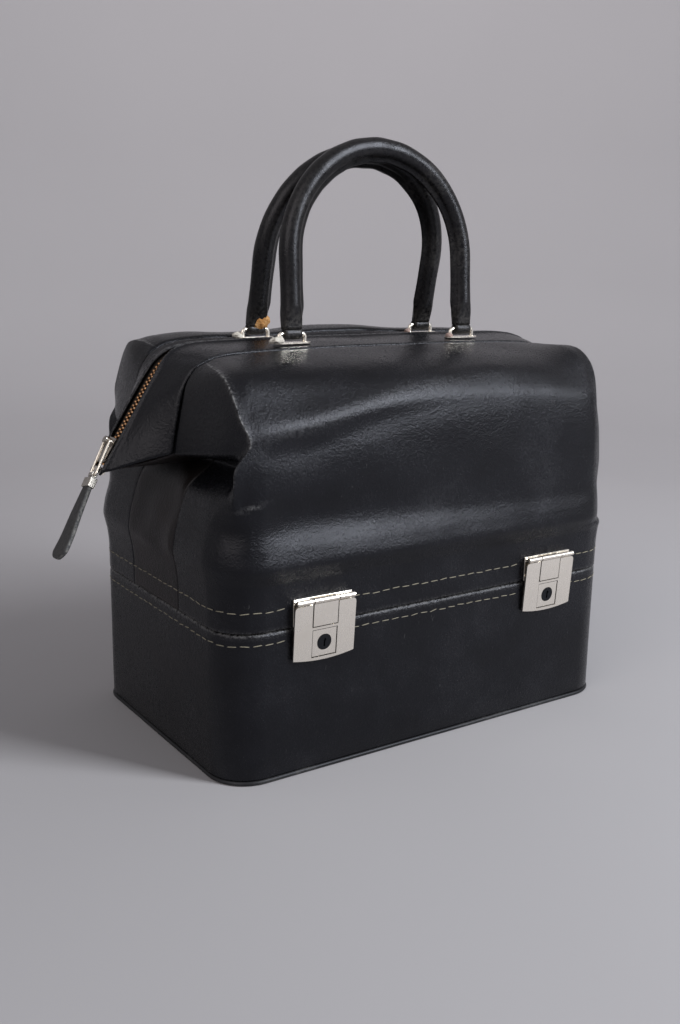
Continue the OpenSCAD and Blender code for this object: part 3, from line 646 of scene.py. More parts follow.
BRASS = Metal("brass_teeth", (0.62, 0.36, 0.19), (0.24, 0.12, 0.06), 0.3)
# Dark metal that paints the shade in the gaps round the lock plates: on their bevels and on the lock base seen
# through them
PAINTED_SHADE_METAL = Metal("painted_shade_metal", (0.055, 0.05, 0.045), (0.03, 0.028, 0.025), 0.45)
KEY_BLACK = Metal("key_black", (0.03, 0.032, 0.036), (0.015, 0.015, 0.016), 0.35)
LINING = Cloth("lining_cloth", (0.115, 0.095, 0.078), (0.185, 0.158, 0.13))
TAPE = Cloth("zip_tape", (0.018, 0.014, 0.011), (0.038, 0.03, 0.024), 2400.0)
PALE_THREAD = Cloth("pale_thread", (0.17, 0.15, 0.11), (0.38, 0.35, 0.27), 4200.0)
FLUFF = Cloth("worn_felt", (0.42, 0.38, 0.32), (0.78, 0.74, 0.68), 3000.0)
PINK_FLUFF = Cloth("worn_felt_pink", (0.30, 0.20, 0.17), (0.52, 0.40, 0.36), 3000.0)
FIBREBOARD = Board("fibreboard", (0.20, 0.145, 0.09), (0.36, 0.27, 0.17))
RAW_CORE = Board("raw_core", (0.22, 0.12, 0.05), (0.40, 0.24, 0.12))
FLOOR = Backdrop("studio_floor", (0.40, 0.385, 0.395))

# Materials by the name of their finish, once they are built
MADE: dict[str, bpy.types.Material] = {}
Finish = Leather | Metal | Cloth | Board | Backdrop


def finish_of(finish: Finish) -> bpy.types.Material:
    """The finish's material, built the first time it is asked for.

    Args:
        finish: The finish.

    Returns:
        Its material.
    """
    if finish.name not in MADE:
        MADE[finish.name] = finish.material()
    return MADE[finish.name]


def raw_object(name: str, patch: Patch, finish: Finish) -> bpy.types.Object:
    """Puts a mesh into the scene at the origin.

    Args:
        name: Name of the object.
        patch: Its shape, in millimetres.
        finish: Its finish.

    Returns:
        The object.
    """
    mesh = bpy.data.meshes.new(name)
    faces = [list(dict.fromkeys(f)) for f in patch.faces.tolist()]
    mesh.from_pydata((patch.points * MM).tolist(), [], faces)
    mesh.polygons.foreach_set("use_smooth", np.ones(len(faces), dtype=bool))
    for key, value in patch.values.items():
        mesh.attributes.new(key, "FLOAT", "POINT").data.foreach_set("value", value.astype(np.float32))
    mesh.materials.append(finish_of(finish))
    mesh.update()
    made = bpy.data.objects.new(name, mesh)
    bpy.context.scene.collection.objects.link(made)
    return made


def piece(name: str, patch: Patch, finish: Finish, body: Body, nodes: Sequence[str] = (),
          thick: float = 0.0) -> bpy.types.Object:
    """Makes a piece of the case and hangs it on its body.

    Args:
        name: Name of the piece.
        patch: Its shape, in millimetres.
        finish: Its finish.
        body: The body that it rides on.
        nodes: Solids that it stands for.
        thick: Thickness that it gets on its inner side, in millimetres.

    Returns:
        The piece's object.
    """
    made = raw_object(name, patch, finish)
    if thick:
        wall = made.modifiers.new("thickness", "SOLIDIFY")
        wall.thickness = thick * MM
        wall.offset = -1.0
    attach(made, body.value)
    if nodes:
        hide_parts(*nodes)
    LOG.info("%s: %d faces on %s", name, len(patch.faces), body.value)
    return made


# The soft bag

# Seam of a panel with the strip on top, as (x, z) from the end to the middle of the case
SEAM = np.array([(182.0, 224.0), (177.0, 252.0), (172.0, 271.0), (164.0, 282.0), (156.0, 286.5),
                 (147.0, 289.5), (130.0, 291.5), (86.7, 292.7), (43.3, 293.2), (0.0, 293.3)])
# Half of the gap between the two strips at the same places
ZIP_HALF = np.array([7.2, 7.2, 7.2, 6.5, 4.3, 2.2, 1.2, 1.2, 1.2, 1.2])
# Number of the place in the middle, and of the place where the long straight run to it begins
MIDDLE = 9.0
STRAIGHT = 6.0


def to_middle(start: float, near: int, far: int) -> Array:
    """Places from start to the middle, near of them before the straight run and far along it."""
    bent = np.linspace(start, STRAIGHT, near, endpoint=False)
    return np.concatenate([bent, np.linspace(STRAIGHT, MIDDLE, far)])


@dataclass
class ZipLine:
    """The line of the zip, from the tip of a prow up its slope and over the top to the middle.

    Attributes:
        tip_x: Distance of the prow's tip from the middle of the case.
        tip_z: Height of the tip.
        slope: Angle of the prow's straight slope.
        step: Distance from knot to knot on the slope.
        dive: How far the teeth sink under the facings.
        dive_from: Place where they begin to sink.
        dive_run: Length of the stretch on which they sink, in places.
    """

    tip_x: float = 224.0
    tip_z: float = 208.0
    slope: float = np.radians(57.0)
    step: float = 28.0
    dive: float = 1.5
    dive_from: float = 2.4
    dive_run: float = 1.4

    def knots(self) -> Array:
        """Places (x, z) that the line goes through, nine steps from the tip to the middle.

        Returns:
            Four places up the straight slope of the prow and six over the top.
        """
        k = np.arange(4)
        prow = np.stack([self.tip_x - k * self.step * np.cos(self.slope),
                         self.tip_z + k * self.step * np.sin(self.slope)], -1)
        top = np.array([(171.0, 287.0), (161.0, 292.5), (140.0, 295.8), (86.7, 296.6), (43.3, 296.9),
                        (0.0, 297.0)])
        return np.concatenate([prow, top])

    def at(self, u: Array) -> Array:
        """Places (x, z) on the line."""
        return curve_at(self.knots(), u)

    def frame_at(self, u: Array) -> tuple[Array, Array, Array]:
        """Places on the left half of the line with their directions up the zip and out of it.

        Args:
            u: Places along the line.

        Returns:
            The points, the directions up the zip and the directions out of the bag.
        """
        p = self.at(u)
        t = unit(self.at(np.minimum(u + 0.05, MIDDLE)) - self.at(np.maximum(u - 0.05, 0.0)))
        zero = np.zeros(len(u))
        return (np.stack([-p[:, 0], zero, p[:, 1]], -1), np.stack([-t[:, 0], zero, t[:, 1]], -1),
                np.stack([-t[:, 1], zero, -t[:, 0]], -1))

    def sunk(self, u: Array) -> Array:
        """How far the teeth dive under the lips of the facings."""
        return self.dive * np.clip((u - self.dive_from) / self.dive_run, 0.0, 1.0)

    def even(self, start: float, pitch: float) -> Array:
        """Places at an even pitch along the line, from start to the middle.

        Args:
            start: The first place.
            pitch: Distance from each to the next, in millimetres.

        Returns:
            The places.
        """
        u = np.linspace(start, MIDDLE, 2000)
        run = np.append(0.0, np.cumsum(np.linalg.norm(np.diff(self.at(u), axis=0), axis=1)))
        return np.interp(np.arange(0.0, run[-1], pitch), run, u)


@dataclass(frozen=True)
class Course:
    """A value given at a list of places, with straight lines between them.

    Attributes:
        places: The places, in rising order.
        values: The value at each.
    """

    places: tuple[float, ...]
    values: tuple[float, ...]

    def at(self, places: Array) -> Array:
        """The value at each place."""
        return np.interp(places, self.places, self.values)


@dataclass(frozen=True)
class Press:
    """How far out leather may come in one level direction, by its height.

    Attributes:
        way: The direction, as (x, y).
        limit: The distance from the middle of the case, by height.
    """

    way: tuple[float, float]
    limit: Course


@dataclass
class Bag:
    """The soft bag: a panel on each long side, a folded gusset at each end, facings along the zip.

    Attributes:
        half_w: Half of its width at the rim.
        half_d: Half of its depth at the rim.
        corner: Radius of its corners at the rim.
        low: Height of its lower edge.
        rim: Height up to which it is stiff.
        edge: Distance of the panels' seams from the middle plane.
        sink: How deep the leather is drawn in at a seam.
        thick: Thickness of the leather.
        ear: Number of the place round a section where an ear has its crest.
        give: How softly the leather gives way where it is pushed in.
        sharp_from: Height above which a corner is a sharp crest.
        lap: Distance of the gussets' and strips' edges from the middle plane.
        bow: Four times the height by which the strips bow up.
        seam_places: Places on the seam where the ten places of half a section end.
        ridge: Height of the fold across the front, by x.
        ridge_high: How far that fold stands out, by x.
        rise: How much higher the front shoulder stands, by x.
        lift: How much higher the back shoulder stands, by its distance from the middle plane.
        front_right: How far out the front right corner comes.
        back_left: How far out the back left corner comes.
    """

    half_w: float = 180.0
    half_d: float = 112.0
    corner: float = 30.0
    low: float = 111.0
    rim: float = 146.0
    edge: float = 38.6
    sink: float = 0.9
    thick: float = 1.5
    ear: float = 4.0
    give: float = 4.0
    sharp_from: float = 190.0
    lap: float = 38.2
    bow: float = 2.4
    seam_places: tuple[float, ...] = (3, 3.2, 3.45, 3.65, 3.85, 4.3, 5.0, 6.67, 7.82, 9)
    ridge: Course = Course((-162, -125, -100, -45, 0, 60), (244, 247, 252, 265, 271, 274))
    ridge_high: Course = Course((-160, -140, -110, -45, 20, 90), (0, 1.8, 2.0, 1.4, 0.8, 0))
    rise: Course = Course((-150, -100, -50, 0, 60, 120, 165), (0, 5, 11, 14, 14, 10, 6))
    lift: Course = Course((31, 36, 39, 46, 54, 64, 76, 88, 100, 110),
                          (0.0, 2.5, 4.5, 6.2, 8.2, 9.6, 9.5, 6.0, 2.5, 0.0))
    front_right: Press = Press((0.676, -0.737), Course(
        (140, 150, 170, 200, 224, 241, 260, 280, 290),
        (220, 193, 192, 190.5, 188.5, 186.5, 184.5, 183, 182)))
    back_left: Press = Press((-0.927, 0.374), Course(
        (140, 160, 203, 224, 241, 264, 284),
        (220, 210, 198, 198, 200, 199, 197)))

    def level(self, end: float, front: float, z: float) -> Array:
        """A level section that stands out by end at the ends and by front on the long sides.

        Args:
            end: How far it stands out at the ends.
            front: How far it stands out on the long sides.
            z: Its height.

        Returns:
            The end seam, the start of the corner, its crest and the start of the long side.
        """
        reach = np.array([self.half_w + end, self.half_d + front])
        near = np.array([self.half_w, self.half_d]) - self.corner
        round_part = mix(near, reach, np.sqrt(0.5))
        return np.array([(reach[0], self.edge, z), (reach[0], near[1], z), (*round_part, z),
                         (near[0], reach[1], z)])

    def sections(self) -> list[Array]:
        """Sections of a panel from the rim to the crest of the ears.

        Returns:
            For each the end seam, the start of the corner, its crest and the start of the long side.
        """
        return [self.level(0, 0, self.low), self.level(0, 0, 128), self.level(1.2, 0.7, 142),
                self.level(2.6, 3.6, 149), self.level(3.6, 6.4, 156), self.level(2.6, 5.2, 165),
                self.level(-1.5, 2.6, 181),
                np.array([(172, 38.6, 199), (174, 94, 201), (173.5, 108.5, 202), (150, 114.2, 204)]),
                np.array([(152, 38.6, 217), (153, 86, 219), (173.5, 111, 221), (150, 113.8, 225)]),
                np.array([(182, 38.6, 224), (169.5, 92, 233.5), (161.5, 111.5, 240), (149, 111.6, 245)]),
                np.array([(177, 38.6, 252), (168.5, 83, 255), (165, 103, 256.5), (149, 99.5, 263)]),
                np.array([(172, 38.6, 271), (167, 62, 276), (163, 76.5, 280), (149, 80.5, 282)])]

    def ring(self, s: Array) -> Array:
        """Nineteen places round a section: half from the left end seam to the middle, half mirrored.

        A low section has a round corner, and a high one runs straight to a sharp crest.

        Args:
            s: The section's four places.

        Returns:
            The places round it.
        """
        before, after = mix(s[1], s[2], 0.7), mix(s[2], s[3], 0.3)
        if s[2, 2] <= self.sharp_from:
            turn = np.array([np.cos(np.pi / 8), np.sin(np.pi / 8)])
            middle = np.array([s[3, 0], s[1, 1]])
            reach = np.array([s[1, 0], s[3, 1]]) - middle
            before = np.array([*(middle + reach * turn), mix(s[1, 2], s[2, 2], 0.5)])
            after = np.array([*(middle + reach * turn[::-1]), mix(s[2, 2], s[3, 2], 0.5)])
        long_side = [s[3] * (k, 1, 1) for k in (2 / 3, 1 / 3, 0)]
        half = np.stack([s[0], mix(s[0], s[1], 0.5), s[1], before, s[2], after, s[3], *long_side])
        half = half * (-1, -1, 1)
        return np.concatenate([half, mirrored(half[-2::-1], 0)])

    def net(self) -> Array:
        """The sections of a panel with the seam along the strip on top.

        Returns:
            Thirteen rows of nineteen places, from the rim upwards.
        """
        s = curve_at(SEAM, np.array(self.seam_places))
        half = np.stack([-s[:, 0], np.full(len(s), -self.edge), s[:, 1]], -1)
        top = np.concatenate([half, mirrored(half[-2::-1], 0)])
        return np.stack([self.ring(row) for row in self.sections()] + [top])

    def relief(self, p: Array, u: Array, v: Array, side: Side) -> tuple[Array, Array]:
        """Folds, hollows and wear of a panel.

        Args:
            p: Places on the panel, in the front panel's half of the case.
            u: Their places round the sections, counted from the nearer end.
            v: Their places from section to section.
            side: Which panel it is.

        Returns:
            How far the leather stands out at each place, and how worn it is.
        """
        x, z = p[..., 0], p[..., 2]
        soft = smooth(self.rim, self.rim + 20.0, z)
        out = soft * (0.5 * waves(p, 95.0, 6, SEED) + 0.14 * waves(p, 34.0, 8, SEED + 1))
        wear = 0.25 * bell(z, self.low, 1.2)
        off = np.abs(u - self.ear)
        patchy = 0.55 + 0.45 * np.sin(1.9 * z + 3 * np.sin(0.31 * z))
        crest = smooth(8.7, 9.0, v) * (1 - smooth(11.6, 12.0, v)) * mix(1.0, 0.4, smooth(0.0, 60.0, x))
        wear = wear + crest * (1.3 * np.exp(-off / 0.16) + 0.2 * patchy * bell(u, self.ear, 0.5))
        crease = smooth(7.0, 7.6, v) * (1 - smooth(8.7, 9.0, v)) * (x < 0)
        wear = wear + 0.4 * crease * patchy * np.exp(-off / 0.15)
        if side is Side.FRONT:
            line, high = self.ridge.at(x), self.ridge_high.at(x)
            out = out + high * (bell(z, line, 9) - 0.6 * bell(z, line - 14, 9))
            out = out - 4.2 * bell(z, 187, 16) * (1 - smooth(-90.0, 90.0, x)) * smooth(-168.0, -130.0, x)
            wear = wear + 0.05 * bell(z, line, 4.0) * high
            star = bell(x + 0.8 * (z - 196), -160, 9) * bell(z - 0.25 * (x + 160), 198, 1.2)
            wear = wear + 0.5 * star
            out = out + 0.5 * star
        return out, np.clip(wear, 0, 1)

    def seam_depth(self, z: Array) -> Array:
        """How deep the leather is drawn in at the end seams, where they fade out below the fold."""
        return self.sink * mix(0.15, 1.0, smooth(185.0, 215.0, z))

    def panel(self, side: Side) -> Patch:
        """A panel: cubics through the net along both its ways, with its relief along the normal.

        Args:
            side: Which panel it is.

        Returns:
            Its outer face.
        """
        places = to_middle(0.0, 66, 34)
        u = np.concatenate([places, 2 * MIDDLE - places[-2::-1]])
        v = np.linspace(0, 12, 120)
        rows = lines_at(self.net(), v)
        points = np.swapaxes(lines_at(np.swapaxes(rows, 0, 1), u), 0, 1)
        near = np.minimum(u, 2 * MIDDLE - u)
        if side is Side.FRONT:
            points = self.shouldered(points)
        out, wear = self.relief(points, near[None] + 0 * v[:, None], v[:, None] + 0 * u[None], side)
        fade = smooth(0.0, 0.12, near)[None] * smooth(0.0, 0.12, 12 - v)[:, None]
        sunk = self.seam_depth(points[..., 2])
        points = points + (grid_normals(points) * (out * fade - sunk * (1 - fade))[..., None])
        if side is Side.BACK:
            points = self.pressed(mirrored(self.raised(points), 1), self.back_left)
        else:
            points = self.pressed(points, self.front_right)
        return Patch.grid(points, flip=side is Side.BACK, wear=wear)

    def shouldered(self, points: Array) -> Array:
        """The front with its shoulder, low at the left ear, rising towards the right.

        Args:
            points: Places on the front panel.

        Returns:
            The same places, raised by the rise at their x where they are near the shoulder.
        """
        x, y, z = np.moveaxis(points, -1, 0)
        moved = points.copy()
        moved[..., 2] += self.rise.at(x) * smooth(205.0, 245.0, z) * (1 - smooth(260.0, 290.0, z))
        moved[..., 2] += 7.0 * bell(x, 168.0, 24.0) * bell(y, -72.0, 24.0) * smooth(240.0, 275.0, z)
        return moved

    def pressed(self, points: Array, press: Press) -> Array:
        """Leather pushed in where it would stand out too far in one level direction.

        Args:
            points: Places on a panel.
            press: The direction outwards and how far out the leather comes.

        Returns:
            The places, eased back towards the limit: out - k log(1 + exp((out - limit) / k)).
        """
        way = np.array(press.way)
        out = points[..., :2] @ way
        over = (out - press.limit.at(points[..., 2])) / self.give
        back = self.give * np.logaddexp(0.0, over)
        moved = points.copy()
        moved[..., :2] -= back[..., None] * way
        return moved

    def raised(self, points: Array) -> Array:
        """The back shoulder and the edge of the strip beside it stand higher than the front ones.

        Args:
            points: Places in the front half of the case.

        Returns:
            The same places, raised in the middle of the width and behind the handles.
        """
        x, y, z = np.moveaxis(points, -1, 0)
        wide = 1 - smooth(165.0, 180.0, np.abs(x)) + 0.45 * (1 - smooth(10.0, 72.0, np.abs(x)))
        ear = 1.5 * bell(x, -168.0, 12.0) * bell(y, -72.0, 20.0)
        lift = self.lift.at(-y) * (wide + 0.25 * bell(x, -125.0, 26.0)) + ear
        raised = points.copy()
        raised[..., 2] += lift * smooth(245.0, 280.0, z)
        return raised

    def gusset(self, end: End) -> Patch:
        """A folded end: cubics through the end seam of the panels and a middle line under the prow.

        Args:
            end: Which end it is.

        Returns:
            Its outer face.
        """
        seam = [s[0] for s in self.sections()[:8]]
        rows = [(x, z, x + 0.5 * (z > self.rim), z - 2.0 * (z > self.rim)) for x, _, z in seam]
        rows += [(152, 217, 154, 212), (179, 223.3, 208.2, 208.9)]
        k = np.linspace(-1, 1, 5)
        table = np.array(rows)[:, :, None]
        x, z = mix(table[:, 2], table[:, 0], np.abs(k)), mix(table[:, 3], table[:, 1], np.abs(k))
        net = np.stack([-x, np.broadcast_to(-k * self.lap, x.shape), z], -1)
        v, u = np.linspace(0, 9, 80), np.linspace(0, 4, 41)
        points = np.swapaxes(curve_at(np.swapaxes(lines_at(net, v), 0, 1), u), 0, 1)
        y, z = points[..., 1], points[..., 2]
        soft = smooth(self.rim, self.rim + 14.0, z)
        ripple = np.sin(y / 6.1 + 1.7 * np.sin(z / 23.0)) * 0.3
        ripple = ripple * smooth(150, 175, z) * (1 - smooth(200, 214, z))
        hollow = 2.0 * bell(z, 195, 9) * bell(y, -6, 22)
        out = soft * (0.8 * waves(points, 60.0, 6, SEED + 2)) + ripple - hollow
        fade = smooth(0.0, 0.35, np.minimum(u, 4 - u))[None] * np.ones_like(out)
        sunk = self.seam_depth(z)
        points = points + grid_normals(points) * (out * fade - sunk * (1 - fade))[..., None]
        wear = 0.2 * bell(z, self.low, 1.2) + 0.25 * smooth(8.6, 9.0, v)[:, None] * np.ones_like(z)
        if end is End.RIGHT:
            points = mirrored(points, 0)
        return Patch.grid(points, flip=end is End.RIGHT, wear=wear)

    def strip(self, zipper: ZipLine, places: Array, t: Array) -> Array:
        """Places on the front strip beside the zip, from the left end to the right one.

        Args:
            zipper: The line of the zip.
            places: Places along the left half, the last one in the middle.
            t: Places across, 0 at the seam and 1 at the zip.

        Returns:
            A grid: straight lines from the seam to the zip, bowed up.
        """
        t = t[:, None]
        a, b, g = curve_at(SEAM, places), zipper.at(places), curve_at(ZIP_HALF, places)
        z = mix(a[:, 1], b[:, 1], t) + self.bow * t * (1 - t)
        half = np.stack([-mix(a[:, 0], b[:, 0], t), -mix(self.lap, g, t), z], -1)
        return np.concatenate([half, mirrored(half[:, -2::-1], 0)], axis=1)

    def facing(self, zipper: ZipLine, side: Side) -> Patch:
        """A strip beside the zip with a rolled lip along the zip and a sunk edge along the seam.

        Args:
            zipper: The line of the zip.
            side: Which strip it is.

        Returns:
            Its outer face.
        """
        places = to_middle(0.0, 70, 30)
        t = np.concatenate([np.linspace(0, 0.8, 16, endpoint=False), np.linspace(0.8, 1, 11)])
        points = self.strip(zipper, places, t)
        t = t[:, None]
        out = 0.35 * waves(points, 55.0, 6, SEED + 3) * (t * (1 - t) * 4)
        out = out + 1.3 * bell(t, 0.95, 0.05) - self.sink * bell(t, 0.0, 0.03) - 0.5 * bell(t, 1.0, 0.02)
        wear = 0.3 * bell(t, 0.97, 0.03) + 0.3 * bell(t, 0.035, 0.015) + 0 * out
        points = points + grid_normals(points) * out[..., None]
        if side is Side.BACK:
            points = mirrored(self.raised(points), 1)
        return Patch.grid(points, flip=side is Side.BACK, wear=wear)

    def build(self, zipper: ZipLine) -> None:
        """Makes all the leather of the bag.

        Args:
            zipper: The line of the zip.
        """
        for side in Side:
            word = side.name.lower()
            piece(f"{word}_panel_leather", self.panel(side), BLACK_LEATHER, Body.BAG,
                  [f"{word}_panel"], self.thick)
            piece(f"{word}_facing_leather", self.facing(zipper, side), BLACK_LEATHER, Body.BAG,
                  [f"{word}_zip_facing"], self.thick)
        for end in End:
            word = end.name.lower()
            piece(f"{word}_gusset_leather", self.gusset(end), END_LEATHER_WITH_PAINTED_WARM_REFLECTION, Body.BAG,
                  [f"{word}_gusset"], self.thick)


@dataclass
class Zip:
    """The zip's tapes and teeth, and the leather tab of its pull.

    Attributes:
        line: The line of the zip.
        bag: The bag that the tapes are sewn to.
        pitch: Distance from tooth to tooth.
        start: Place on the line where the zip begins.
        tooth_top: How far the teeth lie under the line.
        tape_top: How far the tapes lie under the line.
        tape_thick: Thickness of the tapes.
        tooth_half: Half of a tooth's length along the zip.
        out_of_step: How much later the back row begins, in places.
        tab_from: Distance of the tab's near end from the axis on which it swings.
        tab_neck: Half of the width of its neck.
        tab_shoulder: Distance from the axis at which it begins to widen.
        tab_end: Distance of its far end from the axis.
        tab_wide: Radius of its round end.
        tab_thick: Half of its thickness.
    """

    line: ZipLine
    bag: Bag
    pitch: float = 3.2
    start: float = 0.3
    tooth_top: float = 0.7
    tape_top: float = 1.8
    tape_thick: float = 0.5
    tooth_half: float = 0.72
    out_of_step: float = 0.057
    tab_from: float = 3.8
    tab_neck: float = 4.1
    tab_shoulder: float = 10.7
    tab_end: float = 63.7
    tab_wide: float = 9.5
    tab_thick: float = 1.95

    def tape(self, side: Side) -> Patch:
        """A tape: a cubic sheet from under a facing to the foot of the teeth.

        Args:
            side: Which tape it is.

        Returns:
            Its outer face.
        """
        places = to_middle(self.start, 60, 24)
        band = self.bag.strip(self.line, places, np.array([0.72, 0.86, 1.0]))
        under = (band - 1.9 * grid_normals(band))[1]
        rows = [under]
        lip = np.maximum(curve_at(ZIP_HALF, places), 4.8)
        for y, deep in ((lip, 1.0), (3.0, self.line.sunk(places))):
            spot, _, out = self.line.frame_at(places)
            half = spot - out * np.reshape(self.tape_top + deep, (-1, 1))
            half[:, 1] = -y
            rows.append(np.concatenate([half, mirrored(half[-2::-1], 0)]))
        points = curve_at(np.stack(rows), np.linspace(0, 2, 9))
        if side is Side.BACK:
            points = mirrored(points, 1)
        return Patch.grid(points, flip=side is Side.BACK)

    def tooth(self) -> Patch:
        """One tooth: a six-sided section across the zip, carried along it.

        Returns:
            The tooth, with x along the zip, y across and z out of the bag.
        """
        y = np.array([0.4, 0.4, 0.8, 2.6, 3.15, 3.15])
        n = np.array([-2.3, -0.6, -0.15, -0.15, -0.8, -2.3])
        ends = (-self.tooth_half, self.tooth_half)
        rows = np.stack([np.stack([np.full(6, x), y, n], -1) for x in ends])
        sides = Patch.grid(rows, ring=True)
        caps = np.array([(3, 2, 1, 0), (5, 4, 3, 0), (6, 7, 8, 9), (6, 9, 10, 11)])
        return Patch(sides.points, np.concatenate([sides.faces, caps]), {})

    def teeth(self, side: Side) -> Patch:
        """A row of teeth at an even pitch, half a pitch out of step with the other row.

        Args:
            side: Which row it is.

        Returns:
            The row from end to end of the case.
        """
        later = self.out_of_step if side is Side.BACK else 0.0
        u = self.line.even(self.start + later, self.pitch)
        spot, ahead, out = self.line.frame_at(u)
        spot = spot - out * (self.tooth_top + self.line.sunk(u))[:, None]
        across = np.broadcast_to(np.array([0.0, -1.0, 0.0]), spot.shape)
        left = Patch.copies(self.tooth(), spot, np.stack([ahead, across, out], 1))
        right = Patch(mirrored(left.points, 0), left.faces[:, ::-1], {})
        both = joined([left, right])
        if side is Side.BACK:
            both = Patch(mirrored(both.points, 1), both.faces[:, ::-1], {})
        return both

    def tab(self) -> Patch:
        """The tab: a rounded slab that widens to a round end, and bends a little.

        Its section is a superellipse of the sixth power, carried along the tab.

        Returns:
            The tab at its place on the pull.
        """
        end, wide = self.tab_end, self.tab_wide
        round_part = end - wide + wide * np.sin(np.linspace(0.0, 1.52, 22))
        s = np.unique(np.concatenate([np.linspace(self.tab_from, 50, 40), round_part]))
        neck = self.tab_neck
        half = np.interp(s, [0, self.tab_shoulder, end - 0.8 * wide], [neck, neck, 0.92 * wide])
        round_end = np.sqrt(np.maximum(wide**2 - np.maximum(s - (end - wide), 0) ** 2, 0.01))
        half = np.minimum(half, round_end)
        thick = np.minimum(self.tab_thick * (1 - 0.1 * smooth(15, 60, s)), 0.7 * half + 0.3)
        a = np.linspace(0, 2 * np.pi, 36, endpoint=False)
        c, d = np.cos(a), np.sin(a)
        scale = (np.abs(c) ** 6 + np.abs(d) ** 6) ** (-1 / 6)
        local = np.stack([-s[:, None] + 0 * a, half[:, None] * scale * c, thick[:, None] * scale * d], -1)
        local[..., 2] += 0.6 * smooth(18, 60, s)[:, None] * np.sin(s / 9.0)[:, None]
        wear = np.clip(0.12 + 0.7 * np.abs(c) ** 8 * np.ones((len(s), 1)), 0, 1)
        joint = next(j for j in frame["joints"] if j["name"] == "tab_swing")
        across = np.array(joint["axis"])
        slope = self.line.slope
        out = np.array([-np.sin(slope), 0.0, np.cos(slope)])
        frame_axes = np.stack([np.cross(across, out), across, out])
        points = local @ frame_axes + np.array(joint["pos_m"]) / MM
        return Patch.grid(points, ring=True, flip=True, wear=wear).closed(36, flip=True)

    def build(self) -> None:
        """Makes the tapes, the teeth and the tab."""
        for side in Side:
            word = side.name.lower()
            piece(f"{word}_tape_cloth", self.tape(side), TAPE, Body.BAG, [f"{word}_zip_tape"],
                  self.tape_thick)
            piece(f"{word}_zip_row", self.teeth(side), BRASS, Body.BAG,
                  [f"{word}_zip_teeth"])
        piece("pull_tab_leather", self.tab(), TAB_LEATHER, Body.TAB, ["zip_pull_tab"])


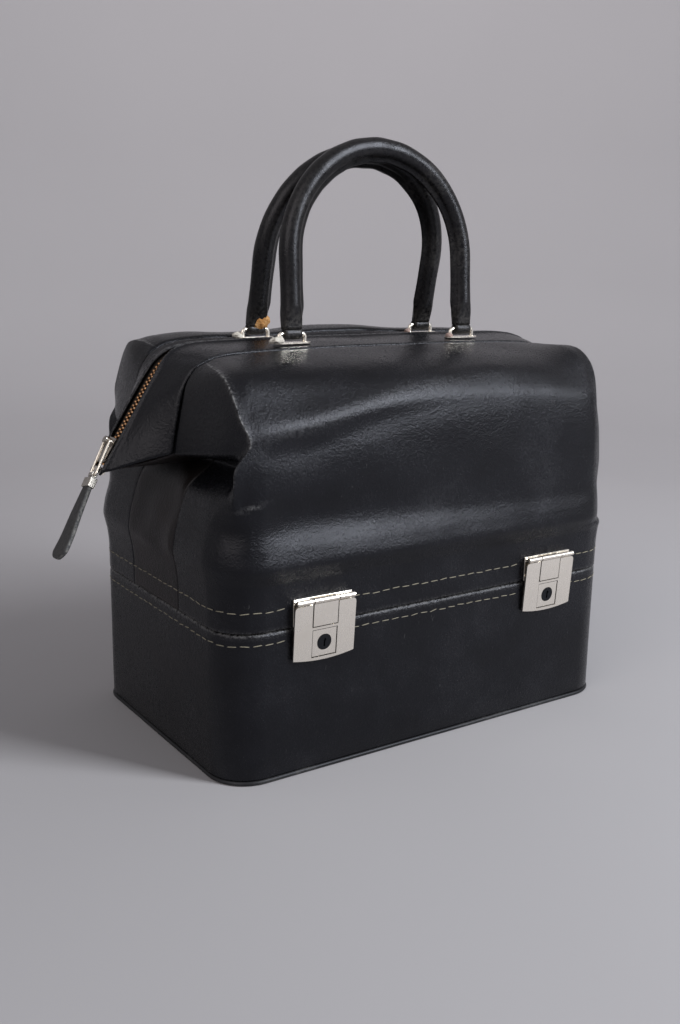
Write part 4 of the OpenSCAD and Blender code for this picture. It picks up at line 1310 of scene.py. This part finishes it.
@dataclass
class Handle:
    """A rolled leather handle with a stitched fin along the inside of its arch.

    Attributes:
        side: The side of the zip that it stands on.
        body: The body that it is.
        swing_y: Distance of its swing axis from the middle plane.
        swing_z: Height of the swing axis.
        half: Radius of the arch.
        leg: Height of the arch's centre over the swing axis.
        roll: Radius of the roll.
        fin: How far the fin stands out of the roll.
        foot: Height of the roll's ends over the swing axis.
        hub: Outer radius of the leather round the wire.
        hole: Radius of its hole.
        hub_half: Half of its length.
        front_lean: Turn about x by which the front handle leans.
        back_lean: Turn about x by which the back handle leans.
    """

    side: Side
    body: Body
    swing_y: float = 27.0
    swing_z: float = 302.306
    half: float = 80.0
    leg: float = 55.0
    roll: float = 7.6
    fin: float = 3.4
    foot: float = 3.2
    hub: float = 4.4
    hole: float = 1.9
    hub_half: float = 7.0
    front_lean: float = np.radians(-3.9)
    back_lean: float = np.radians(12.5)

    def lean(self) -> float:
        """Angle by which the handle leans over the zip, as a turn about x."""
        return self.back_lean if self.side is Side.BACK else self.front_lean

    def placed(self, patch: Patch) -> Patch:
        """Moves a shape from the handle's own frame to its place on the bag.

        Args:
            patch: The shape.

        Returns:
            The shape, leaned over and set on the handle's loops.
        """
        c, s = np.cos(self.lean()), np.sin(self.lean())
        turn = np.array([(1, 0, 0), (0, c, -s), (0, s, c)])
        return Patch(patch.points @ turn.T + np.array([0, self.side.value * self.swing_y, self.swing_z]),
                     patch.faces, patch.values)

    def spine(self, count: int) -> tuple[Array, Array]:
        """Places along the legs and the arch, and the directions from there to the inside.

        Args:
            count: Number of places.

        Returns:
            The places and the directions, in the handle's own frame.
        """
        height = self.leg - self.foot
        run = np.linspace(0, 2 * height + np.pi * self.half, count)
        left = run < height
        right = run > height + np.pi * self.half
        a = np.clip((run - height) / self.half, 0, np.pi)
        x = -self.half * np.cos(a)
        z = self.leg + self.half * np.sin(a)
        down = self.leg - (run - height - np.pi * self.half)
        z = np.where(left, self.foot + run, np.where(right, down, z))
        zero = np.zeros(count)
        return np.stack([x, zero, z], -1), np.stack([np.cos(a), zero, -np.sin(a)], -1)

    def cover(self) -> Patch:
        """The roll: a round section with a narrow fin inwards, squared off towards the loops.

        The section is a superellipse whose power grows from 2 to 4.5 down the legs.

        Returns:
            The closed roll.
        """
        path, inward = self.spine(200)
        a = np.linspace(0, 2 * np.pi, 40, endpoint=False)
        low = 1 - smooth(self.foot, 22.0, path[:, 2])[:, None]
        power = 2.0 + 2.5 * low
        c, s = np.cos(a)[None], np.sin(a)[None]
        scale = (np.abs(c) ** power + np.abs(s) ** power) ** (-1.0 / power)
        wide = mix(self.roll, self.hub_half + 0.6, low)
        deep = mix(self.roll, self.hub - 0.3, low)
        fin = (1 - low) * self.fin * np.exp(-((np.minimum(a, 2 * np.pi - a) / 0.2) ** 4))[None]
        uneven = 1 + 0.018 * waves(path, 26.0, 6, SEED + 5)[:, None]
        across = np.array([0.0, 1.0, 0.0])
        points = (path[:, None] + inward[:, None] * ((scale * c * wide + fin) * uneven)[..., None]
                  + across * (scale * s * deep * uneven)[..., None])
        rubbed = 0.12 * smooth(0.2, 1.0, waves(path, 50.0, 5, SEED + 6))[:, None]
        wear = 0.06 + 0.3 * low + rubbed + 0 * points[..., 0]
        return Patch.grid(points, ring=True, wear=np.clip(wear, 0, 1)).closed(40)

    def eye(self, x: float) -> Patch:
        """The leather bent round the wire: a ring section along x, its corners rounded.

        Args:
            x: Place of its middle.

        Returns:
            The ring.
        """
        profile = np.array([(-7, 1.0), (-7, 3.4), (-6.3, 4.3), (-5, 4.4), (5, 4.4), (6.3, 4.3), (7, 3.4),
                            (7, 1.0), (6.6, 0), (-6.6, 0)])
        r = self.hole + profile[:, 1] * (self.hub - self.hole) / 4.4
        a = np.linspace(0, 2 * np.pi, 28, endpoint=False)[:, None]
        points = np.stack([x + profile[:, 0] + 0 * a, r * np.cos(a), r * np.sin(a)], -1)
        return Patch.grid(points, ring=True, loop=True, wear=np.full(points.shape[:2], 0.3))

    def build(self) -> None:
        """Makes the handle's leather."""
        word = self.side.name.lower()
        shape = self.placed(joined([self.cover(), self.eye(-self.half), self.eye(self.half)]))
        piece(f"{word}_handle_roll", shape, HANDLE_LEATHER, self.body,
              [f"{word}_handle_cover"])


@dataclass
class LowerCase:
    """The hard lower compartment: leather over board, a welt round the bottom and cloth inside.

    Attributes:
        half_w: Half of its width.
        half_d: Half of its depth.
        corner: Radius of its corners.
        top: Height of its rim.
        wall: Thickness of its wall, without the lining.
        welt_r: Radius of the welt.
        welt_in: Distance of the welt's middle inside the outline.
        welt_z: Height of the welt's middle.
        arc_steps: Number of steps round a corner.
        side_steps: Number of steps along a side.
        bed_z: Height of the cloth on the floor.
        bed_in: Width of the lining's bend at the foot of the wall.
        divider_in: Distance of the divider's cloth inside the outline.
        divider_up: Height of the divider's cloth over the rim.
    """

    half_w: float = 180.0
    half_d: float = 112.0
    corner: float = 30.0
    top: float = 110.0
    wall: float = 5.6
    welt_r: float = 1.6
    welt_in: float = 0.8
    welt_z: float = 1.75
    arc_steps: int = 18
    side_steps: int = 30
    bed_z: float = 8.4
    bed_in: float = 5.0
    divider_in: float = 7.1
    divider_up: float = 1.05

    def outline(self, inset: float) -> tuple[Array, Array]:
        """The rounded rectangle of the case set in by a distance.

        Each quarter is an arc round the corner's centre and a straight run to the next corner.

        Args:
            inset: Distance inwards.

        Returns:
            Places (x, y) round the outline and the outward directions there.
        """
        arc = np.radians(np.linspace(0, 90, self.arc_steps + 1))
        run = np.arange(1, self.side_steps) / self.side_steps
        turn = np.append(arc, np.full(len(run), arc[-1])) + np.radians([-90, 0, 90, 180])[:, None]
        ways = np.stack([np.cos(turn), np.sin(turn)], -1).reshape(-1, 2)
        signs = np.array([(1, -1), (1, 1), (-1, 1), (-1, -1)])
        centres = signs * (self.half_w - self.corner, self.half_d - self.corner)
        along = np.append(np.zeros(len(arc)), run)[:, None]
        middles = mix(centres[:, None], np.roll(centres, -1, axis=0)[:, None], along).reshape(-1, 2)
        return middles + ways * (self.corner - inset), ways

    def swept(self, profile: Array, bulge: float, seed: int, shut: bool = True) -> Patch:
        """Carries a profile of (inset, z) round the outline, a little unevenly.

        Args:
            profile: Places of the profile, in order.
            bulge: Size of the unevenness.
            seed: Seed of the unevenness.
            shut: Whether the last place joins the first.

        Returns:
            The mesh.
        """
        base, ways = self.outline(0.0)
        spots = base[None] - ways[None] * profile[:, None, :1]
        points = np.concatenate([spots, np.broadcast_to(profile[:, None, 1:], (*spots.shape[:2], 1))], -1)
        uneven = bulge * waves(points, 80.0, 6, seed)
        points[..., :2] += ways[None] * uneven[..., None]
        wear = bell(points[..., 2], self.top, 1.6) * 0.55 + 0 * uneven
        return Patch.grid(points, ring=True, loop=shut, wear=wear)

    def build(self) -> None:
        """Makes the leather, the welt and the lining."""
        wrap = np.array([(1.4, 3.6), (0.5, 3.6), (0.0, 4.6), (0, 20), (0, 40), (0, 60), (0, 80), (0, 96),
                         (0, 105), (0.1, 107.6), (0.5, 109.0), (1.3, 109.8), (2.4, 110.0), (4.4, 110.0),
                         (5.2, 109.6), (5.5, 108.8), (4.8, 108.5), (1.8, 108.5), (1.5, 107.0), (1.5, 60)])
        piece("lower_wrap_leather", self.swept(wrap, 0.15, SEED + 8), BLACK_LEATHER, Body.LOWER,
              ["lower_leather_wrap"])
        a = np.linspace(0, 2 * np.pi, 14, endpoint=False)
        middle = np.array([self.welt_in, self.welt_z])
        welt = middle + self.welt_r * np.stack([-np.cos(a), np.sin(a)], -1)
        piece("base_welt_leather", self.swept(welt, 0.12, SEED + 9), WELT_LEATHER, Body.LOWER,
              ["base_welt"])
        inside = self.wall + 0.8
        foot = inside + self.bed_in
        lining = np.array([(self.wall + 0.1, 108.0), (self.wall + 0.5, 108.3), (inside, 107.9),
                           (inside, 60), (inside, 13), (inside + 0.6, 10.4), (inside + 2.2, 8.9),
                           (foot, self.bed_z)])
        walls = self.swept(lining, 0.0, SEED, shut=False)
        rings = np.linspace(0.03, 1.0, 24)
        bed = self.disc(foot, self.bed_z, rings)
        piece("lower_lining_cloth", joined([walls, bed]), LINING, Body.LOWER, ["lower_lining"])
        cover = self.disc(self.divider_in, self.top + self.divider_up, rings)
        under = Patch(cover.points, cover.faces[:, ::-1], cover.values)
        piece("divider_cloth", under, LINING, Body.BAG, ["divider_lining"], 0.6)

    def disc(self, inset: float, z: float, rings: Array) -> Patch:
        """A flat bed of cloth, faintly uneven: the outline shrunk step by step to its middle.

        Args:
            inset: Distance of its edge inside the outline.
            z: Its height.
            rings: Sizes of the steps, from the middle outwards.

        Returns:
            The bed, looking up.
        """
        edge = self.outline(inset)[0]
        spots = rings[:, None, None] * edge[None]
        points = np.concatenate([spots, np.full((*spots.shape[:2], 1), z)], -1)
        points[..., 2] += 0.12 * waves(points, 45.0, 6, SEED + 12) * smooth(0.0, 0.08, 1 - rings)[:, None]
        bed = Patch.grid(points, ring=True, flip=True, wear=np.zeros(points.shape[:2]))
        return bed.filled(len(edge), flip=True)


@dataclass
class StitchRow:
    """A row of pale stitches round the case.

    Attributes:
        name: Name of the piece.
        body: The body that it rides on.
        case: The compartment whose outline it follows.
        z: Its height.
        pitch: Distance from stitch to stitch.
        length: Length of a stitch.
        radius: Half of a stitch's height.
        latch: Distance of the latches and hinges from the middle of the case.
        clear: Half of the width that stays free behind each.
        flat_to: Distance from the middle plane past which a place is on a long side.
    """

    name: str
    body: Body
    case: LowerCase
    z: float
    pitch: float = 8.8
    length: float = 6.5
    radius: float = 0.36
    latch: float = 106.0
    clear: float = 26.0
    flat_to: float = 110.0

    def stitch(self) -> Patch:
        """One stitch: a short flattened bar with pointed ends.

        Returns:
            The stitch, along x.
        """
        x = np.array([-1.0, -0.8, 0.0, 0.8, 1.0]) * self.length / 2
        r = np.array([0.25, 0.85, 1.0, 0.85, 0.25]) * self.radius
        a = np.linspace(0, 2 * np.pi, 6, endpoint=False)
        points = np.stack([x[:, None] + 0 * a, 0.8 * r[:, None] * np.cos(a), r[:, None] * np.sin(a)], -1)
        return Patch.grid(points, ring=True).closed(6)

    def build(self) -> None:
        """Sets the stitches at an even pitch, none behind the latches and the hinges."""
        edge, ways = self.case.outline(0.0)
        loop = np.concatenate([edge, edge[:1]])
        turn = np.concatenate([ways, ways[:1]])
        run = np.append(0.0, np.cumsum(np.linalg.norm(np.diff(loop, axis=0), axis=1)))
        at = np.arange(0.0, run[-1] - self.pitch / 2, self.pitch)
        spot = np.stack([np.interp(at, run, loop[:, k]) for k in range(2)], -1)
        out = unit(np.stack([np.interp(at, run, turn[:, k]) for k in range(2)], -1))
        beside = np.abs(np.abs(spot[:, 0]) - self.latch) > self.clear
        free = beside | (np.abs(spot[:, 1]) < self.flat_to)
        spot, out = spot[free], out[free]
        draw = np.random.default_rng(SEED + int(self.z))
        tilt = draw.normal(0.0, 0.07, len(spot)) + 0.05
        places = np.column_stack([spot + 0.1 * out, self.z + draw.normal(0.0, 0.22, len(spot))])
        normal = np.column_stack([out, np.zeros(len(out))])
        level = np.column_stack([-out[:, 1], out[:, 0], np.zeros(len(out))])
        up = np.array([0.0, 0.0, 1.0])
        along = level * np.cos(tilt)[:, None] + up * np.sin(tilt)[:, None]
        frames = np.stack([along, normal, np.cross(along, normal)], 1)
        row = Patch.copies(self.stitch(), places, frames)
        piece(self.name, row, PALE_THREAD, self.body)


@dataclass
class Remnants:
    """What years of use have left at the feet of the handles.

    Attributes:
        swing_y: Distance of the feet from the middle plane.
        foot_z: Height of the feet.
        left_x: Where the tufts beside the left feet lie.
        right_x: Where the tufts beside the right feet lie.
    """

    swing_y: float = 27.0
    foot_z: float = 297.4
    left_x: float = -94.5
    right_x: float = 67.0

    def lump(self, middle: Triple, size: Triple, seed: int) -> Patch:
        """A ragged ball of fibres: a ball whose radius follows two sizes of waves.

        Args:
            middle: Its middle.
            size: Its half widths.
            seed: Seed of the waves.

        Returns:
            The ball.
        """
        t = np.linspace(0.02, np.pi - 0.02, 22)[:, None]
        a = np.linspace(0, 2 * np.pi, 32, endpoint=False)[None]
        ball = np.stack([np.sin(t) * np.cos(a), np.sin(t) * np.sin(a), np.cos(t) + 0 * a], -1)
        swell = 1 + 0.22 * waves(ball, 1.6, 6, seed) + 0.1 * waves(ball, 0.5, 8, seed + 1)
        points = np.array(middle) + ball * swell[..., None] * np.array(size)
        wear = 0.5 + 0.4 * waves(ball, 1.0, 5, seed + 2)
        return Patch.grid(points, ring=True, flip=True, wear=np.clip(wear, 0, 1)).closed(32, flip=True)

    def build(self) -> None:
        """Makes the felt beside the left feet, the pinker tufts by the right ones and the torn end."""
        y, z = self.swing_y, self.foot_z
        left = joined([self.lump((self.left_x, -y - 2.5, z + 0.4), (5.2, 3.6, 2.7), 3),
                       self.lump((self.left_x, y + 1.0, z + 0.4), (4.6, 3.4, 2.6), 5)])
        right = joined([self.lump((self.right_x, -y - 1.5, z - 0.2), (2.6, 2.6, 1.8), 7),
                        self.lump((self.right_x, y, z - 0.2), (2.6, 2.6, 1.8), 9)])
        piece("worn_felt_left", left, FLUFF, Body.BAG)
        piece("worn_felt_right", right, PINK_FLUFF, Body.BAG)
        back = Handle(Side.BACK, Body.BACK_HANDLE)
        torn = back.placed(self.lump((-77.5, -3.4, 6.0), (5.6, 2.6, 6.0), 11))
        piece("torn_handle_end", torn, SUEDE, Body.BACK_HANDLE)


def set_up(name: str, data: bpy.types.ID, place: Triple, axes: Array) -> bpy.types.Object:
    """Puts a lamp or a camera into the scene.

    Args:
        name: Name of its object.
        data: The lamp or the camera.
        place: Where it stands, in metres.
        axes: Its three axes, as columns.

    Returns:
        The object.
    """
    made = bpy.data.objects.new(name, data)
    rows = [(*row, p) for row, p in zip(axes.tolist(), place)]
    made.matrix_world = Matrix([*rows, (0, 0, 0, 1)])
    bpy.context.scene.collection.objects.link(made)
    return made


@dataclass(frozen=True)
class Lamp:
    """A soft lamp that faces a point, with its lengths in metres.

    Attributes:
        name: Name of the lamp.
        place: Where it stands.
        aim: The point that it faces.
        size: Its width and height.
        watts: Its power.
        colour: Its colour.
    """

    name: str
    place: Triple
    aim: Triple
    size: tuple[float, float]
    watts: float
    colour: Colour

    def add(self) -> None:
        """Puts the lamp into the scene."""
        data = bpy.data.lights.new(self.name, "AREA")
        data.shape = "RECTANGLE"
        data.size, data.size_y = self.size
        data.energy = self.watts
        data.color = self.colour
        back = unit(np.array(self.place) - np.array(self.aim))
        right = unit(np.cross((0.0, 0.0, 1.0), back) + (1e-6, 0.0, 0.0))
        up = np.cross(back, right)
        set_up(self.name, data, self.place, np.stack([right, up, back], -1))


LAMPS = (Lamp("window", (0.86, -1.36, 1.2), (0, 0, 0.2), (0.5, 1.3), 46, (0.92, 0.96, 1.0)),
         Lamp("wall_washer", (0.35, 0.5, 1.35), (1.05, 1.55, 0.7), (1.0, 1.0), 8, (1.0, 0.95, 0.95)),
         Lamp("fill", (-1.9, -0.9, 1.5), (0, 0, 0.15), (1.6, 1.6), 17, (1.0, 0.93, 0.88)))


@dataclass
class Studio:
    """The pale backdrop, the soft lamps and the camera.

    Attributes:
        place: Where the camera stands, in metres.
        ahead: The direction that it looks in.
        roll: How far it is rolled.
        lens: Its focal length.
        height: Height of its sensor.
        dim: Strength of the light from all round.
        sky: Colour of that light.
        around: Number of places round the backdrop.
    """

    place: Triple = (-0.5006, -0.7183, 0.3600)
    ahead: Triple = (0.54364, 0.80725, -0.22978)
    roll: float = np.radians(0.92)
    lens: float = 38.54
    height: float = 36.0
    dim: float = 0.26
    sky: Colour = (0.85, 0.9, 1.0)
    around: int = 96

    def floor(self) -> None:
        """A sheet: flat under the case, bent up into a wall behind it.

        It is turned about the upright axis, radius and height along the rows, and only the half
        that the camera looks at rises.
        """
        r = np.array([0.2, 0.4, 0.8, 1.1, 1.4, 1.6, 1.75, 1.83, 1.85, 1.88]) * 1000
        z = np.array([0.0, 0.0, 0.0, 0.0, 0.03, 0.12, 0.3, 0.6, 1.4, 2.6]) * 1000
        a = np.linspace(0, 2 * np.pi, self.around, endpoint=False)
        behind = np.cos(a - np.arctan2(self.ahead[1], self.ahead[0]))
        rise = smooth(0.45, 0.7, behind)
        far = r[:, None] * mix(3.2, 1.0, rise)
        points = np.stack([far * np.cos(a), far * np.sin(a), z[:, None] * rise], -1)
        sheet = Patch.grid(points, ring=True, flip=True).filled(self.around, flip=True)
        raw_object("backdrop", sheet, FLOOR)

    def world(self) -> bpy.types.World:
        """A dim surrounding that looks as pale as the backdrop, to the camera and in reflections.

        Returns:
            The world.
        """
        tree = Tree(bpy.data.worlds.new("studio"))
        camera, glossy, through = (tree.make("ShaderNodeLightPath", {}, {}, f"Is {kind} Ray")
                                   for kind in ("Camera", "Glossy", "Transmission"))
        dim = tree.make("ShaderNodeBackground", {}, {"Color": (*self.sky, 1.0), "Strength": self.dim})
        pale = tree.make("ShaderNodeBackground", {}, {"Color": (*FLOOR.colour, 1.0)})
        either = tree.make("ShaderNodeMixShader", {}, {0: camera + glossy + through, 1: dim, 2: pale})
        tree.make("ShaderNodeOutputWorld", {}, {"Surface": either})
        return tree.owner

    def camera(self) -> None:
        """The camera of the photograph."""
        ahead = unit(np.array(self.ahead))
        right = unit(np.cross(ahead, (0.0, 0.0, 1.0)))
        up = np.cross(right, ahead)
        c, s = np.cos(self.roll), np.sin(self.roll)
        axes = np.stack([c * right + s * up, c * up - s * right, -ahead], -1)
        data = bpy.data.cameras.new("camera")
        data.sensor_fit = "VERTICAL"
        data.sensor_height = self.height
        data.lens = self.lens
        bpy.context.scene.camera = set_up("camera", data, self.place, axes)

    def build(self) -> None:
        """Sets up the whole studio."""
        self.floor()
        self.camera()
        for lamp in LAMPS:
            lamp.add()
        scene = bpy.context.scene
        scene.world = self.world()
        scene.view_settings.view_transform = "Standard"


def dress_solids() -> None:
    """Gives each solid of the CAD a finish by the slot that the record names for it."""
    finishes = {"black_leather": BLACK_LEATHER, "brown_black_leather": END_LEATHER_WITH_PAINTED_WARM_REFLECTION, "nickel": NICKEL,
                "brass_teeth": BRASS, "tape": TAPE, "lining": LINING, "board": FIBREBOARD,
                "key_black": KEY_BLACK, "tan_core": RAW_CORE}
    slots = {s["node"]: s["material_slot"] for s in frame["record"]["subparts"]}
    for name, solid in frame["nodes"].items():
        solid.data.materials.clear()
        solid.data.materials.append(finish_of(finishes[slots[name]]))


def soften(node: str, finish: Finish, width: float, dark: bool = False) -> None:
    """Puts a merged copy of a metal solid, with softened edges, in its place.

    Args:
        node: Name of the solid.
        finish: Its finish.
        width: Width of the softened edges, in millimetres.
        dark: Whether these edges get the dark metal that paints the shade in the gaps round the plates.
    """
    record = frame["record"]
    body = next(name for name, members in record["behaviour"]["bodies"].items() if node in members)
    mesh = frame["nodes"][node].data.copy()
    work = bmesh.new()
    work.from_mesh(mesh)
    bmesh.ops.remove_doubles(work, verts=work.verts, dist=1e-6)
    work.to_mesh(mesh)
    work.free()
    mesh.materials.clear()
    mesh.materials.append(finish_of(finish))
    # Second slot: dark metal that paints the shade in the gaps, given to the bevels where dark is set
    mesh.materials.append(finish_of(PAINTED_SHADE_METAL))
    mesh.polygons.foreach_set("use_smooth", np.ones(len(mesh.polygons), dtype=bool))
    made = bpy.data.objects.new(f"{node}_metal", mesh)
    bpy.context.scene.collection.objects.link(made)
    edges = made.modifiers.new("soft_edges", "BEVEL")
    edges.width = width * MM
    edges.segments = 2
    edges.limit_method = "ANGLE"
    edges.angle_limit = EDGE_ANGLE
    edges.material = 1 if dark else 0
    even = made.modifiers.new("even_faces", "WEIGHTED_NORMAL")
    even.weight = 100
    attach(made, body)
    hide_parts(node)
    LOG.info("%s: softened", node)


def soften_metal() -> None:
    """Softens the edges of the latches, the hinges and the zip's slider, and paints shade in the latch gaps."""
    for side in ("left", "right"):
        for part in ("lock_face", "lock_button", "hasp"):
            soften(f"{side}_{part}", NICKEL, 0.28, True)
        # The lock base, seen only through the gaps round the plates, is all dark metal: painted shade
        soften(f"{side}_lock_base", PAINTED_SHADE_METAL, 0.2)
        soften(f"{side}_keeper", NICKEL, 0.25)
        for part in ("hinge_lower_leaf", "hinge_upper_leaf"):
            soften(f"{side}_{part}", NICKEL, 0.2)
        soften(f"{side}_key_plug", KEY_BLACK, 0.15)
    for part in ("zip_slider", "zip_pull_clip"):
        soften(part, BRIGHT_NICKEL, 0.2)


def main() -> None:
    """Dresses the case and sets up the studio."""
    logging.basicConfig(level=logging.INFO, format="%(name)s %(message)s")
    zipper = ZipLine()
    dress_solids()
    soften_metal()
    bag = Bag()
    bag.build(zipper)
    Zip(zipper, bag).build()
    Handle(Side.FRONT, Body.FRONT_HANDLE).build()
    Handle(Side.BACK, Body.BACK_HANDLE).build()
    case = LowerCase()
    case.build()
    StitchRow("upper_stitches", Body.BAG, case, 125.2).build()
    StitchRow("lower_stitches", Body.LOWER, case, 102.0).build()
    Remnants().build()
    Studio().build()


if __name__ == "__main__":
    main()
